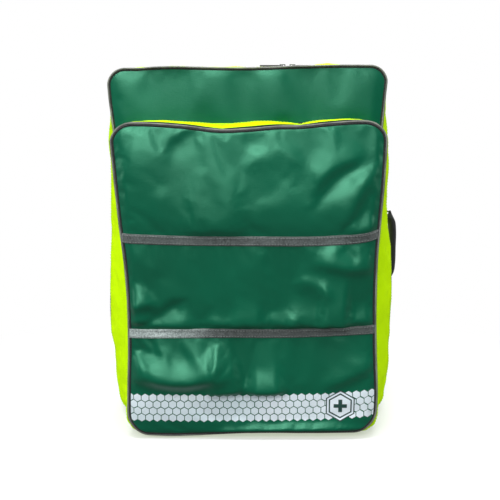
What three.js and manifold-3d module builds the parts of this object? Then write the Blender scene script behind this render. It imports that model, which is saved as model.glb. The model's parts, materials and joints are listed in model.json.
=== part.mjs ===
// A two-compartment trauma backpack. Millimetres, +Z up, the front faces -Y and the wearer's back is at +Y.
// The origin is the centre of the main compartment's base, on the floor plane.
import * as THREE from "three";
import { mergeVertices } from "three/addons/utils/BufferGeometryUtils.js";
import Module from "manifold-3d";

const wasm = await Module();
wasm.setup();

// ---------------------------------------------------------------- driving dimensions
const GAP = 0.4; // clearance between neighbouring pieces
const WALL = 3; // padded side wall: fabric, foam and lining
const PANEL = 4; // padded front and back panels
const CORNER_SEGMENTS = 6;
const HINGE_TOP = 42; // the zips stop this far above the base, and the cloth below them is the hinge
const TAPE_WALL = 1.8;
const COIL_GAP = 1.3; // half the space between the two halves of a zip
const BOARD = 2.5; // stiffening boards in the back and the base
const PIPING = 4;

// The main compartment: outline of its panels, and the front and back planes.
const MAIN = {
  foot: 0,
  top: 500,
  footWidth: 372,
  topWidth: 372,
  footRadius: 34,
  topRadius: 32,
  front: -70,
  back: 70,
  zip: -12,
  tape: 11,
  swellX: 24,
  swellZ: 3,
};
// The front pocket, carried on the main compartment's lid.
const POCKET = {
  foot: 5,
  top: 430,
  footWidth: 342,
  topWidth: 352,
  footRadius: 34,
  topRadius: 32,
  front: -136,
  back: -70,
  zip: -103,
  tape: 9,
  swellX: 5,
  swellZ: -6, // its top sags between its seams
};

// ---------------------------------------------------------------- materials
function cloth(color, roughness) {
  return new THREE.MeshStandardMaterial({ color, roughness, metalness: 0 });
}
const green = cloth(0x0f5f42, 0.38);
const yellow = cloth(0xc8f000, 0.75);
const greyCord = cloth(0x6d6e68, 0.6);
const greyWebbing = cloth(0x63686a, 0.85);
const blackWebbing = cloth(0x101113, 0.85);
const blackMesh = cloth(0x1b1d1f, 0.95);
const silver = cloth(0xb9c4c8, 0.35);
const blackPlastic = cloth(0x141416, 0.4);
const zinc = new THREE.MeshStandardMaterial({ color: 0x2a2b2d, roughness: 0.35, metalness: 0.9 });
const board = cloth(0x9a9c9a, 0.7);

// ---------------------------------------------------------------- solids
function toSolid(geometry) {
  const bare = geometry.index ? geometry.toNonIndexed() : geometry.clone();
  bare.deleteAttribute("normal");
  bare.deleteAttribute("uv");
  const merged = mergeVertices(bare, 1e-4);
  return new wasm.Manifold(
    new wasm.Mesh({
      numProp: 3,
      vertProperties: new Float32Array(merged.attributes.position.array),
      triVerts: new Uint32Array(merged.index.array),
    }),
  );
}

function toGeometry(solid) {
  const mesh = solid.getMesh();
  return new THREE.BufferGeometry()
    .setAttribute("position", new THREE.BufferAttribute(new Float32Array(mesh.vertProperties), 3))
    .setIndex(new THREE.BufferAttribute(new Uint32Array(mesh.triVerts), 1));
}

// An axis-aligned box from its lowest to its highest corner.
function box(low, high) {
  const size = high.map((value, axis) => value - low[axis]);
  const centre = high.map((value, axis) => (value + low[axis]) / 2);
  return new THREE.BoxGeometry(...size).translate(...centre);
}

function join(first, ...others) {
  return toGeometry(others.reduce((made, next) => made.add(toSolid(next)), toSolid(first)));
}

function cut(first, ...others) {
  return toGeometry(others.reduce((made, next) => made.subtract(toSolid(next)), toSolid(first)));
}

// A rounded outline in the XZ plane, tapering from foot to top and drawn in by an inset.
function outline(part, inset) {
  const foot = part.footWidth / 2 - inset;
  const top = part.topWidth / 2 - inset;
  const low = part.foot + inset;
  const high = part.top - inset;
  const footR = part.footRadius - inset;
  const topR = part.topRadius - inset;
  const shape = new THREE.Shape();
  shape.absarc(foot - footR, low + footR, footR, -Math.PI / 2, 0, false);
  shape.absarc(top - topR, high - topR, topR, 0, Math.PI / 2, false);
  shape.absarc(-top + topR, high - topR, topR, Math.PI / 2, Math.PI, false);
  shape.absarc(-foot + footR, low + footR, footR, Math.PI, Math.PI * 1.5, false);
  shape.closePath();
  return shape;
}

// Extrudes a shape drawn in the XZ plane from one Y plane to another.
function between(shape, y0, y1, steps = 1) {
  const options = { depth: y1 - y0, steps, bevelEnabled: false, curveSegments: CORNER_SEGMENTS };
  return new THREE.ExtrudeGeometry(shape, options).rotateX(Math.PI / 2).translate(0, y1, 0);
}

// The share of its full swelling that a side wall has at a depth: 0 at its seams, 1 half-way between them.
function fullness(part, y) {
  const middle = (part.front + part.back) / 2;
  const half = (part.back - part.front) / 2;
  return Math.max(0, 1 - ((y - middle) / half) ** 2);
}

// Pushes a side wall outwards between its seams, as a packed bag does. The base stays flat.
function swell(part, geometry) {
  const points = geometry.attributes.position;
  for (let i = 0; i < points.count; i++) {
    const full = fullness(part, points.getY(i));
    points.setX(i, points.getX(i) * (1 + (part.swellX / (part.footWidth / 2)) * full));
    points.setZ(i, points.getZ(i) * (1 + (part.swellZ / part.top) * full));
  }
  return geometry;
}

// A swollen band of side wall running all the way round a compartment.
function band(part, y0, y1, wall, steps) {
  const shape = outline(part, 0);
  shape.holes.push(outline(part, wall));
  return swell(part, between(shape, y0, y1, steps));
}

// A half of a compartment's side wall. Its zip edge is cut back for the zip tape above the hinge.
function sideWall(part, y0, y1, tape0, tape1, steps) {
  const reach = part.footWidth;
  const slot = box([-reach, tape0 - GAP, HINGE_TOP], [reach, tape1 + GAP, part.top + 50]);
  return cut(band(part, y0, y1, WALL, steps), slot);
}

// The zip tape: an upside-down U that fills the cut in a side wall.
function zipTape(part, tape0, tape1) {
  const reach = part.footWidth;
  const below = box([-reach, tape0 - 5, -50], [reach, tape1 + 5, HINGE_TOP + GAP]);
  return cut(band(part, tape0, tape1, TAPE_WALL, 2), below);
}

// A flat padded panel inside its piping.
function panel(part, y0, y1) {
  return between(outline(part, PIPING + GAP), y0, y1);
}

// Piping cord with an eight-sided section, running round a panel's edge.
function piping(part, y) {
  const edge = PIPING * 0.3;
  const shape = outline(part, edge);
  shape.holes.push(outline(part, PIPING - edge));
  const options = {
    depth: PIPING - 2 * edge,
    bevelThickness: edge,
    bevelSize: edge,
    bevelSegments: 1,
    curveSegments: CORNER_SEGMENTS,
  };
  const cord = new THREE.ExtrudeGeometry(shape, options).rotateX(Math.PI / 2);
  return cord.translate(0, y + PIPING / 2 - edge, 0);
}

// A rounded plate in the XZ plane, centred on its group's origin.
function plate(width, height, radius, y0, y1) {
  const sides = { footWidth: width, topWidth: width, footRadius: radius, topRadius: radius };
  const part = { foot: 0, top: height, ...sides };
  return between(outline(part, 0), y0, y1).translate(0, 0, -height / 2);
}

function add(group, name, geometry, material) {
  const mesh = new THREE.Mesh(geometry, material);
  mesh.name = name;
  group.add(mesh);
  return mesh;
}

function place(group, parent, x, y, z) {
  group.position.set(x, y, z);
  parent.add(group);
  return group;
}

// ---------------------------------------------------------------- main compartment, rear half
function buildShell(bag) {
  const shell = new THREE.Group();
  bag.add(shell);
  const tape0 = MAIN.zip + COIL_GAP;
  const tape1 = tape0 + MAIN.tape;
  const wallBack = MAIN.back - PANEL + 1;
  const wall = sideWall(MAIN, MAIN.zip + GAP, wallBack, tape0 - COIL_GAP, tape1, 5);
  add(shell, "rear_side_wall", wall, yellow);
  add(shell, "main_zip_rear_tape", zipTape(MAIN, tape0, tape1), blackWebbing);
  add(shell, "back_panel", panel(MAIN, MAIN.back - PANEL, MAIN.back), blackMesh);
  add(shell, "back_piping", piping(MAIN, MAIN.back), greyCord);

  // Stiffeners that keep the bag upright.
  const boardFace = MAIN.back - PANEL - GAP;
  add(shell, "frame_sheet", between(outline(MAIN, 14), boardFace - BOARD, boardFace), board);
  const floor = WALL + GAP;
  const base = box([-150, MAIN.zip + 4, floor], [150, boardFace - 4, floor + BOARD]);
  add(shell, "base_board", base, board);

  // Elastic bands across the inside of the back, which hold the kit.
  const bandBack = boardFace - 2.5 - GAP;
  for (const [name, z] of [["kit_band_lower", 150], ["kit_band_upper", 320]]) {
    add(shell, name, box([-160, bandBack - 2, z], [160, bandBack, z + 38]), blackWebbing);
  }

  // Foam pads against the wearer's back.
  const padFace = MAIN.back + GAP;
  const padDepth = 9;
  for (const [name, side] of [["back_pad_left", -1], ["back_pad_right", 1]]) {
    const pad = plate(124, 280, 26, 0, padDepth);
    add(shell, name, pad, blackMesh).position.set(side * 78, padFace, 238);
  }
  add(shell, "lumbar_pad", plate(280, 52, 22, 0, padDepth), blackMesh).position.set(0, padFace, 62);
  add(shell, "strap_yoke", plate(214, 34, 8, 0, 5), green).position.set(0, padFace, 449);
  return { padFace };
}

// ---------------------------------------------------------------- main compartment, lid half
function buildLid(bag) {
  const lid = new THREE.Group();
  bag.add(lid);
  const tape1 = MAIN.zip - COIL_GAP;
  const tape0 = tape1 - MAIN.tape;
  const wallFront = MAIN.front + PANEL - 1;
  add(lid, "lid_side_wall", sideWall(MAIN, wallFront, MAIN.zip - GAP, tape0, tape1 + COIL_GAP, 4), yellow);
  add(lid, "main_zip_lid_tape", zipTape(MAIN, tape0, tape1), blackWebbing);
  add(lid, "lid_panel", panel(MAIN, MAIN.front, MAIN.front + PANEL), green);
  add(lid, "lid_piping", piping(MAIN, MAIN.front), greyCord);

  // A mesh document pocket on the inside of the lid, with a bound mouth.
  const inner = MAIN.front + PANEL + GAP;
  add(lid, "lid_mesh_pocket", box([-150, inner, 40], [150, inner + 1.6, 300]), blackMesh);
  add(lid, "mesh_pocket_binding", box([-150, inner, 300 + GAP], [150, inner + 2.6, 316]), greyWebbing);

  // The fixed rear half of the front pocket.
  const pocketTape1 = POCKET.zip + COIL_GAP + POCKET.tape;
  const pocketTape0 = POCKET.zip + COIL_GAP;
  const wall = sideWall(
    POCKET,
    POCKET.zip + GAP,
    POCKET.back - GAP - 2,
    pocketTape0 - COIL_GAP,
    pocketTape1,
    3,
  );
  add(lid, "pocket_rear_side_wall", wall, yellow);
  add(lid, "pocket_zip_rear_tape", zipTape(POCKET, pocketTape0, pocketTape1), blackWebbing);
}

// ---------------------------------------------------------------- front pocket door
function buildPocketDoor(bag) {
  const door = new THREE.Group();
  bag.add(door);
  const tape1 = POCKET.zip - COIL_GAP;
  const tape0 = tape1 - POCKET.tape;
  const wallFront = POCKET.front + PANEL - 1;
  const wall = sideWall(POCKET, wallFront, POCKET.zip - GAP, tape0, tape1 + COIL_GAP, 3);
  add(door, "pocket_front_side_wall", wall, yellow);
  add(door, "pocket_zip_front_tape", zipTape(POCKET, tape0, tape1), blackWebbing);
  add(door, "pocket_panel", panel(POCKET, POCKET.front, POCKET.front + PANEL), green);
  add(door, "pocket_piping", piping(POCKET, POCKET.front), greyCord);

  // Two full-width webbing bands, the reflective band and the badge printed over it.
  const face = POCKET.front - GAP;
  const strip = 13;
  for (const [name, z, width] of [["webbing_band_upper", 276, 324], ["webbing_band_lower", 150, 318]]) {
    const webbing = box([-width / 2, face - 1.6, z - strip / 2], [width / 2, face, z + strip / 2]);
    add(door, name, webbing, greyWebbing);
  }
  const reflect = { low: 24, high: 65, half: 160, thick: 0.6 };
  const film = box([-reflect.half, face - reflect.thick, reflect.low], [reflect.half, face, reflect.high]);
  add(door, "reflective_band", film, silver);
  const badge = new THREE.CylinderGeometry(21, 21, 1, 6).rotateY(Math.PI / 6).translate(122, 0, 0);
  add(door, "badge_plate", badge, silver).position.set(0, face - reflect.thick - GAP - 0.5, 44.5);
}

// ---------------------------------------------------------------- zip sliders and pulls
const SLIDER = { length: 12, width: 9, plate: 2, tape: 3, post: 1.5 };
const PULL = { pivot: 1.2, bar: 0.7, reach: 6, grip: 26, gripWidth: 7 };

// Two plates joined by a post between the coils, with an arched bridge for the pull. It travels along X.
function sliderBody() {
  const half = SLIDER.length / 2;
  const wide = SLIDER.width / 2;
  const upper = box([-half, -wide, 0], [half, wide, SLIDER.plate]);
  const lower = box([-half, -wide, -SLIDER.tape - SLIDER.plate], [half, wide, -SLIDER.tape]);
  const post = box([-half + 3, -SLIDER.post / 2, -SLIDER.tape - 0.5], [half - 3, SLIDER.post / 2, 0.5]);
  const archTop = SLIDER.plate + 2 * PULL.pivot + 1;
  const arch = box([-4, -0.9, SLIDER.plate - 0.5], [4, 0.9, archTop]);
  const opening = box([-2.6, -2, SLIDER.plate], [2.6, 2, archTop - 1]);
  return cut(join(upper, lower, post, arch), cut(opening, box([-9, -9, -9], [9, 9, SLIDER.plate])));
}

// A pull hung on a cross bar under the bridge. The bar is the group's origin and the grip runs along +X.
function pullBody() {
  const bar = new THREE.CylinderGeometry(PULL.bar, PULL.bar, 6, 8);
  const arms = [-3, 1.5].map((y) => box([0, y, -PULL.bar * 0.9], [PULL.reach, y + 1.5, PULL.bar * 0.9]));
  const gripHalf = PULL.gripWidth / 2;
  const gripThick = 0.9;
  const gripEnd = PULL.reach + PULL.grip;
  const grip = box([PULL.reach - 0.5, -gripHalf, -gripThick], [gripEnd, gripHalf, gripThick]);
  return join(bar, ...arms, grip);
}

// One slider with its pull. A direction of -1 lays the pull towards -X.
function buildSlider(bag, name, x, y, z, direction) {
  const slider = place(new THREE.Group(), bag, x, y, z);
  add(slider, name + "_slider", sliderBody(), zinc);
  const pull = add(slider, name + "_pull", pullBody(), blackPlastic);
  pull.position.z = SLIDER.plate + PULL.pivot;
  pull.rotation.z = direction > 0 ? 0 : Math.PI;
}

// The outer face of a compartment's top at its zip, plus running clearance.
function zipTop(part) {
  return part.top + part.swellZ + 0.5;
}

// ---------------------------------------------------------------- carrying handles
function buildTopHandle(bag, padFace) {
  const handle = place(new THREE.Group(), bag, 0, padFace + 6, 486);
  handle.rotation.x = THREE.MathUtils.degToRad(20);
  const loop = { half: 64, drop: 56, webbing: 25, thick: 2.4 };
  const outer = box([-loop.half, -loop.thick / 2, -loop.drop], [loop.half, loop.thick / 2, 2]);
  const inside = loop.half - loop.webbing;
  const hole = box([-inside, -5, -loop.drop + loop.webbing], [inside, 5, 10]);
  add(handle, "top_handle_loop", cut(outer, hole), blackWebbing);
  const sleeve = box([-34, -5.5, -loop.drop - 3], [34, 5.5, -loop.drop + loop.webbing + 3]);
  const slack = loop.thick / 2 + GAP;
  const slot = box([-40, -slack, -loop.drop - GAP], [40, slack, -loop.drop + loop.webbing + GAP]);
  add(handle, "top_handle_grip", cut(sleeve, slot), blackPlastic);
  for (const [name, side] of [["top_handle_anchor_left", -1], ["top_handle_anchor_right", 1]]) {
    const x = side * (loop.half - loop.webbing / 2);
    add(bag, name, plate(27, 22, 2, 0, 2.4), blackWebbing).position.set(x, padFace, 483);
  }
}

// A webbing handle on the right side wall. It turns about the upright line through its two ends.
function buildSideHandle(bag) {
  const y = 34;
  const wallX = MAIN.footWidth / 2 + MAIN.swellX * fullness(MAIN, y - 10);
  const pivotX = wallX + 4;
  const centreZ = 241;
  const rise = 10;
  const shape = new THREE.Shape();
  shape.moveTo(-1.5, -52);
  shape.lineTo(1.5, -53);
  shape.lineTo(rise, -38);
  shape.lineTo(rise, 38);
  shape.lineTo(1.5, 53);
  shape.lineTo(-1.5, 52);
  shape.lineTo(rise - 3, 36);
  shape.lineTo(rise - 3, -36);
  shape.closePath();
  const geometry = between(shape, -10, 10);
  const points = geometry.attributes.position;
  const endShare = 0.2; // the ends are folded down to a fifth of the webbing's width
  for (let i = 0; i < points.count; i++) {
    const share = THREE.MathUtils.clamp(points.getX(i) / (rise - 3), endShare, 1);
    points.setY(i, points.getY(i) * share);
  }
  const handle = place(new THREE.Group(), bag, pivotX, y, centreZ);
  add(handle, "side_handle_webbing", geometry, blackWebbing);
  for (const [name, z] of [["side_handle_anchor_lower", -66], ["side_handle_anchor_upper", 54]]) {
    const patch = box([wallX - pivotX + GAP, -11, z], [wallX - pivotX + GAP + 2, 11, z + 12]);
    add(handle, name, patch, blackWebbing);
  }
}

// ---------------------------------------------------------------- shoulder straps
// One strap hangs from the yoke and runs down to a tab at the foot of the back panel. It's drawn for +X.
const STRAP = {
  top: new THREE.Vector3(76, 86, 430),
  bottom: new THREE.Vector3(158, 80, 42),
  padThick: 13,
  webbing: 25,
};

// A soft band with its side view along a curve, its centre line and half width varying with height.
function curvedBand(curve, thick, centreX, halfWidth, samples) {
  const shape = new THREE.Shape();
  const points = curve.getPoints(samples);
  const edges = [-1, 1].map((side) =>
    points.map((point, i) => {
      const along = curve.getTangent(i / samples);
      const out = (side * thick) / 2;
      return new THREE.Vector2(point.x - along.y * out, point.y + along.x * out);
    }),
  );
  const loop = [...edges[0], ...edges[1].reverse()];
  shape.setFromPoints(loop);
  const options = { depth: 2, bevelEnabled: false, curveSegments: 1 };
  // Shape x is depth (Y), shape y is height (Z), and the extrusion is width (X).
  const geometry = new THREE.ExtrudeGeometry(shape, options).translate(0, 0, -1);
  const vertices = geometry.attributes.position;
  for (let i = 0; i < vertices.count; i++) {
    const [y, z, side] = [vertices.getX(i), vertices.getY(i), vertices.getZ(i)];
    vertices.setXYZ(i, centreX(z) + side * halfWidth(z), y, z);
  }
  return geometry;
}

// Straight-line interpolation through a list of [height, value] pairs, heights falling.
function byHeight(pairs) {
  return (z) => {
    const next = pairs.findIndex(([height]) => height <= z);
    if (next < 0) return pairs[pairs.length - 1][1];
    if (next === 0) return pairs[0][1];
    const [[z0, v0], [z1, v1]] = [pairs[next - 1], pairs[next]];
    return THREE.MathUtils.mapLinear(z, z0, z1, v0, v1);
  };
}

function buildStrap(bag, side, name) {
  const strap = new THREE.Group();
  strap.scale.x = side;
  bag.add(strap);
  const line = new THREE.SplineCurve([
    new THREE.Vector2(STRAP.top.y, STRAP.top.z - 1),
    new THREE.Vector2(97, 405),
    new THREE.Vector2(112, 370),
    new THREE.Vector2(122, 320),
    new THREE.Vector2(124, 265),
    new THREE.Vector2(117, 208),
  ]);
  const centre = byHeight([[430, 76], [370, 90], [320, 103], [265, 118], [208, 128]]);
  const half = byHeight([[430, 13], [412, 15], [385, 30], [300, 31], [240, 28], [208, 17]]);
  add(strap, name + "_pad", curvedBand(line, STRAP.padThick, centre, half, 14), blackMesh);

  // The adjuster: a frame with two slots for the webbing.
  const adjuster = place(new THREE.Group(), strap, 129, 114.6, 191);
  adjuster.rotation.x = THREE.MathUtils.degToRad(-10);
  const frame = box([-18, -2.5, -13], [18, 2.5, 13]);
  const slots = [box([-13.5, -5, -9], [13.5, 5, -3]), box([-13.5, -5, 3], [13.5, 5, 9])];
  add(adjuster, name + "_adjuster", cut(frame, ...slots), blackPlastic);

  // Webbing from the adjuster to the tab, straight along the strap's lower run.
  const from = new THREE.Vector2(111, 176);
  const to = new THREE.Vector2(STRAP.bottom.y + 0.5, STRAP.bottom.z);
  const lower = new THREE.SplineCurve([from, new THREE.Vector2(101, 115), to]);
  const lowerCentre = byHeight([[176, 130], [115, 143], [42, 158]]);
  const webbingHalf = byHeight([[90, STRAP.webbing / 2], [42, 6]]);
  add(strap, name + "_webbing", curvedBand(lower, 2, lowerCentre, webbingHalf, 6), blackWebbing);

  // The loose tail of the webbing hangs from the adjuster's outer face.
  const tail = place(new THREE.Group(), strap, 129, 119.5, 181);
  add(tail, name + "_tail", box([-12.5, -1, -118], [12.5, 1, 0]), blackWebbing);

  // A triangular tab sewn into the side seam carries the webbing's lower end.
  const shape = new THREE.Shape();
  shape.moveTo(182, 18);
  shape.lineTo(182, 96);
  shape.lineTo(146, 56);
  shape.lineTo(146, 30);
  shape.closePath();
  const tab = between(shape, MAIN.back + PIPING / 2 + GAP, MAIN.back + PIPING / 2 + GAP + 3);
  add(strap, name + "_tab", tab, green);
}

// ---------------------------------------------------------------- assembly
const bag = new THREE.Group();
const { padFace } = buildShell(bag);
buildLid(bag);
buildPocketDoor(bag);
buildSlider(bag, "main_zip_left", 46, MAIN.zip, zipTop(MAIN), -1);
buildSlider(bag, "main_zip_right", 60, MAIN.zip, zipTop(MAIN), 1);
buildSlider(bag, "pocket_zip_left", 96, POCKET.zip, zipTop(POCKET), -1);
buildSlider(bag, "pocket_zip_right", 110, POCKET.zip, zipTop(POCKET), 1);
buildTopHandle(bag, padFace);
buildSideHandle(bag);
buildStrap(bag, -1, "strap_left");
buildStrap(bag, 1, "strap_right");

export default bag;
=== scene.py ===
import json
import math

import bpy
import numpy as np
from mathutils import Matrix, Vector
from mathutils.bvhtree import BVHTree

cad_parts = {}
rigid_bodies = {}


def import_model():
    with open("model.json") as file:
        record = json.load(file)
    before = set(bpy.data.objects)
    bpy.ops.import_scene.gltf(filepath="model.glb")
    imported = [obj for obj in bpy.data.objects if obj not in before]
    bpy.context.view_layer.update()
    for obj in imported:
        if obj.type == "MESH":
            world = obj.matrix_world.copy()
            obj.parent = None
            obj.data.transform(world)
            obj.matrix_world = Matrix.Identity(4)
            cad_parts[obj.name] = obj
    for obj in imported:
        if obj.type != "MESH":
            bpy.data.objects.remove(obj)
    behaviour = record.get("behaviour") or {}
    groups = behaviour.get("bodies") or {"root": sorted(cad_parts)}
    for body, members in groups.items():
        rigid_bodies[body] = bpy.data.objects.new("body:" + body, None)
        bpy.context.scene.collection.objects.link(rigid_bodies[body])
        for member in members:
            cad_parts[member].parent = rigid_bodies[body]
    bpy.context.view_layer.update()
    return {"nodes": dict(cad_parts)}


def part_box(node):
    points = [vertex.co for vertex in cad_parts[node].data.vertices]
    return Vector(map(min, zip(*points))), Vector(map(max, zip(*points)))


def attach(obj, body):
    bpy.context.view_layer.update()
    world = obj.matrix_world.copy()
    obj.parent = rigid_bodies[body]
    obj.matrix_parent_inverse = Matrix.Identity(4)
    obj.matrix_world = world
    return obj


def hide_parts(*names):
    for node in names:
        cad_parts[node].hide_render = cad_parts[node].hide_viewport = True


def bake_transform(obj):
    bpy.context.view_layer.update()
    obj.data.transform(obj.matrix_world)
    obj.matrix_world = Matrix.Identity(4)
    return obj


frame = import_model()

# Sizes in this script are millimetres, in the frame's axes, and become metres in build_mesh().
MM = 0.001


def span(node):
    """A CAD node's lowest and highest corners in millimetres."""
    low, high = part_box(node)
    return np.array(low) / MM, np.array(high) / MM


# ---------------------------------------------------------------- sizes taken from the frame
LID_FACE = span("lid_panel")[0][1]  # front plane of the main compartment
BACK_FACE = span("back_panel")[1][1]  # back plane, against the wearer
MAIN_ZIP = (span("main_zip_lid_tape")[1][1] + span("main_zip_rear_tape")[0][1]) / 2
MAIN_TOP = span("lid_piping")[1][2]
MAIN_HALF = span("lid_piping")[1][0]
ZIP_TOP = span("main_zip_rear_tape")[1][2]
# The pocket panel's seam sits this far behind its face in the frame, and the cloth swells forward from it.
SEAM_BACK = 5
POCKET_FACE = span("pocket_panel")[0][1] + SEAM_BACK
POCKET_ZIP = (span("pocket_zip_front_tape")[1][1] + span("pocket_zip_rear_tape")[0][1]) / 2
POCKET_FOOT = span("pocket_piping")[0][2]
POCKET_TOP = span("pocket_piping")[1][2]
POCKET_HALF = span("pocket_piping")[1][0]
POCKET_ZIP_TOP = span("pocket_zip_rear_tape")[1][2]
HINGE_TOP = span("main_zip_rear_tape")[0][2]  # the zips stop at this height and the cloth below is the hinge

# ---------------------------------------------------------------- small maths helpers


def through(*pairs):
    """A smooth function through (place, value) pairs in rising order, level beyond both ends."""
    place = np.array([pair[0] for pair in pairs], float)
    value = np.array([pair[1] for pair in pairs], float)
    slope = np.gradient(value, place)

    def at(where):
        where = np.clip(np.asarray(where, float), place[0], place[-1])
        i = np.clip(np.searchsorted(place, where, side="right") - 1, 0, len(place) - 2)
        step = place[i + 1] - place[i]
        t = (where - place[i]) / step
        start = (2 * t**3 - 3 * t**2 + 1) * value[i] + (t**3 - 2 * t**2 + t) * step * slope[i]
        end = (-2 * t**3 + 3 * t**2) * value[i + 1] + (t**3 - t**2) * step * slope[i + 1]
        return start + end

    return at


def ease(value, low, high):
    """0 below low, 1 above high and smooth between."""
    t = np.clip((np.asarray(value, float) - low) / (high - low), 0, 1)
    return t * t * (3 - 2 * t)


def unit(vectors):
    return vectors / np.maximum(np.linalg.norm(vectors, axis=-1, keepdims=True), 1e-9)


class Waves:
    """Smooth repeatable wrinkling: a sum of sine waves in fixed directions, about -1 to 1."""

    COUNT = 9

    def __init__(self, seed, size):
        made = np.random.default_rng(seed)
        angle = made.uniform(0, math.pi, self.COUNT)
        pitch = size * made.uniform(0.6, 1.6, self.COUNT)
        self.kx = 2 * math.pi * np.cos(angle) / pitch
        self.kz = 2 * math.pi * np.sin(angle) / pitch
        self.phase = made.uniform(0, 2 * math.pi, self.COUNT)

    def __call__(self, x, z):
        x = np.asarray(x, float)[..., None]
        z = np.asarray(z, float)[..., None]
        return np.sin(x * self.kx + z * self.kz + self.phase).mean(-1) * 1.8


def at_depth(flat, y):
    """Flat (x, z) points set at a depth y."""
    return np.stack([flat[:, 0], 0 * flat[:, 0] + y, flat[:, 1]], 1)


def resample(points, count):
    """Evenly spaced points along a polyline."""
    points = np.asarray(points, float)
    run = np.r_[0, np.cumsum(np.linalg.norm(np.diff(points, axis=0), axis=1))]
    want = np.linspace(0, run[-1], count)
    return np.stack([np.interp(want, run, points[:, k]) for k in range(points.shape[1])], 1)


def spline(points, count):
    """Evenly spaced points along a smooth curve through a few points."""
    points = np.asarray(points, float)
    run = np.r_[0, np.cumsum(np.linalg.norm(np.diff(points, axis=0), axis=1))]
    fine = np.linspace(0, run[-1], count * 8)
    curve = [through(*zip(run, points[:, k]))(fine) for k in range(points.shape[1])]
    return resample(np.stack(curve, 1), count)


# ---------------------------------------------------------------- seam loops
class Loop:
    """A closed loop round a compartment in the XZ plane, measured by place: 0 at the foot's middle, 0.25 on
    the +X side, 0.5 at the top and 0.75 on the -X side. It's a rounded rectangle whose sides follow left(z)
    and right(z) and whose top and foot follow top(x) and foot(x)."""

    SAMPLES = 4000
    ARC = 40  # points round each corner
    # The four corners' middles have the same places on every loop, so that loops line up.
    CORNERS = (0.12, 0.38, 0.62, 0.88)

    def __init__(self, half, foot, top, foot_radius, top_radius, left, right, top_line=None, foot_line=None):
        self.half, self.foot, self.top = half, foot, top
        self.left, self.right = left, right
        self.top_line = top_line or (lambda x: np.full(np.shape(x), float(top)))
        self.foot_line = foot_line or (lambda x: np.full(np.shape(x), float(foot)))
        arcs = []
        quarters = ((1, -1, foot_radius), (1, 1, top_radius), (-1, 1, top_radius), (-1, -1, foot_radius))
        for number, (sign_x, sign_z, radius) in enumerate(quarters):
            centre_x = sign_x * (half - radius)
            centre_z = foot + radius if sign_z < 0 else top - radius
            angle = np.radians(90 * (number - 1) + np.linspace(0, 90, self.ARC))
            arcs.append(np.stack([centre_x + radius * np.cos(angle), centre_z + radius * np.sin(angle)], 1))
        outline = np.vstack([[[0, foot]], *arcs, [[0, foot]]])
        run = np.r_[0, np.cumsum(np.linalg.norm(np.diff(outline, axis=0), axis=1))]
        corner = [run[1 + self.ARC * i + self.ARC // 2] / run[-1] for i in range(len(quarters))]
        even = resample(outline, self.SAMPLES + 1)
        place = np.linspace(0, 1, self.SAMPLES + 1)
        self.places = np.interp(place, [0, *corner, 1], [0, *self.CORNERS, 1])
        self.line = self.soften(even)
        step = np.gradient(self.line, axis=0)
        self.out = unit(np.stack([step[:, 1], -step[:, 0]], 1))

    def soften(self, points):
        """Moves a plain rounded rectangle's points onto the sides' and ends' own lines."""
        x, z = points[..., 0], points[..., 1]
        right = self.right(z) - self.half
        left = self.left(z) + self.half
        share = np.abs(x) / self.half
        new_x = x + np.where(x > 0, right, left) * share
        near_top = ease(z, self.foot + 0.45 * (self.top - self.foot), self.top)
        near_foot = 1 - ease(z, self.foot, self.foot + 0.3 * (self.top - self.foot))
        top_rise = (self.top_line(new_x) - self.top) * near_top
        foot_rise = (self.foot_line(new_x) - self.foot) * near_foot
        return np.stack([new_x, z + top_rise + foot_rise], -1)

    def at(self, place, inset=0.0):
        """The (x, z) points at places on the loop, moved inwards by inset."""
        place = np.mod(place, 1.0)
        point = np.stack([np.interp(place, self.places, self.line[:, k]) for k in (0, 1)], -1)
        return point - self.outward(place) * inset

    def outward(self, place):
        place = np.mod(place, 1.0)
        return unit(np.stack([np.interp(place, self.places, self.out[:, k]) for k in (0, 1)], -1))

    def place_at_height(self, z, side):
        """Where the loop passes a height, on the +X or -X side."""
        start, end = self.CORNERS[:2] if side > 0 else self.CORNERS[2:]
        inside = (self.places > start + 0.01) & (self.places < end - 0.01)
        index = np.argmin(np.abs(self.line[inside, 1] - z))
        return self.places[inside][index]

    def patch(self, inset, columns, rows):
        """A grid of (x, z) points that fills the loop, rows from foot to top."""
        br, tr, tl, bl = self.CORNERS
        across, up = np.linspace(0, 1, columns), np.linspace(0, 1, rows)
        foot = self.at((bl - 1) + (br + 1 - bl) * across, inset)
        top = self.at(tl + (tr - tl) * across, inset)
        left = self.at(bl + (tl - bl) * up, inset)
        right = self.at(br + (tr - br) * up, inset)
        u, v = across[None, :, None], up[:, None, None]
        sides = (1 - v) * foot[None] + v * top[None] + (1 - u) * left[:, None] + u * right[:, None]
        corners = (
            (1 - u) * (1 - v) * foot[0] + u * (1 - v) * foot[-1] + (1 - u) * v * top[0] + u * v * top[-1]
        )
        return sides - corners


def wider(line, extra):
    return lambda z: line(z) + extra


def level(value):
    """A straight upright line at one x."""
    return lambda z: value + 0 * z


# The front panels are drawn in at the waist and flare to the top, more on one side than the other.
LID_RIGHT = through((0, 176), (57, 176), (127, 173), (196, 172), (263, 173), (329, 176), (400, 179.5),
                    (433, 182), (458, 184), (480, 186))
LID_LEFT = through((0, -174), (57, -172), (127, -170), (196, -170), (263, -173), (329, -178), (400, -185),
                   (433, -188.8), (458, -191.5), (480, -193))
LID_TOP = through((-150, 501), (-130, 502.5), (-27, 501.6), (13, 502), (67, 504), (135, 505.2), (160, 505))
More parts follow.
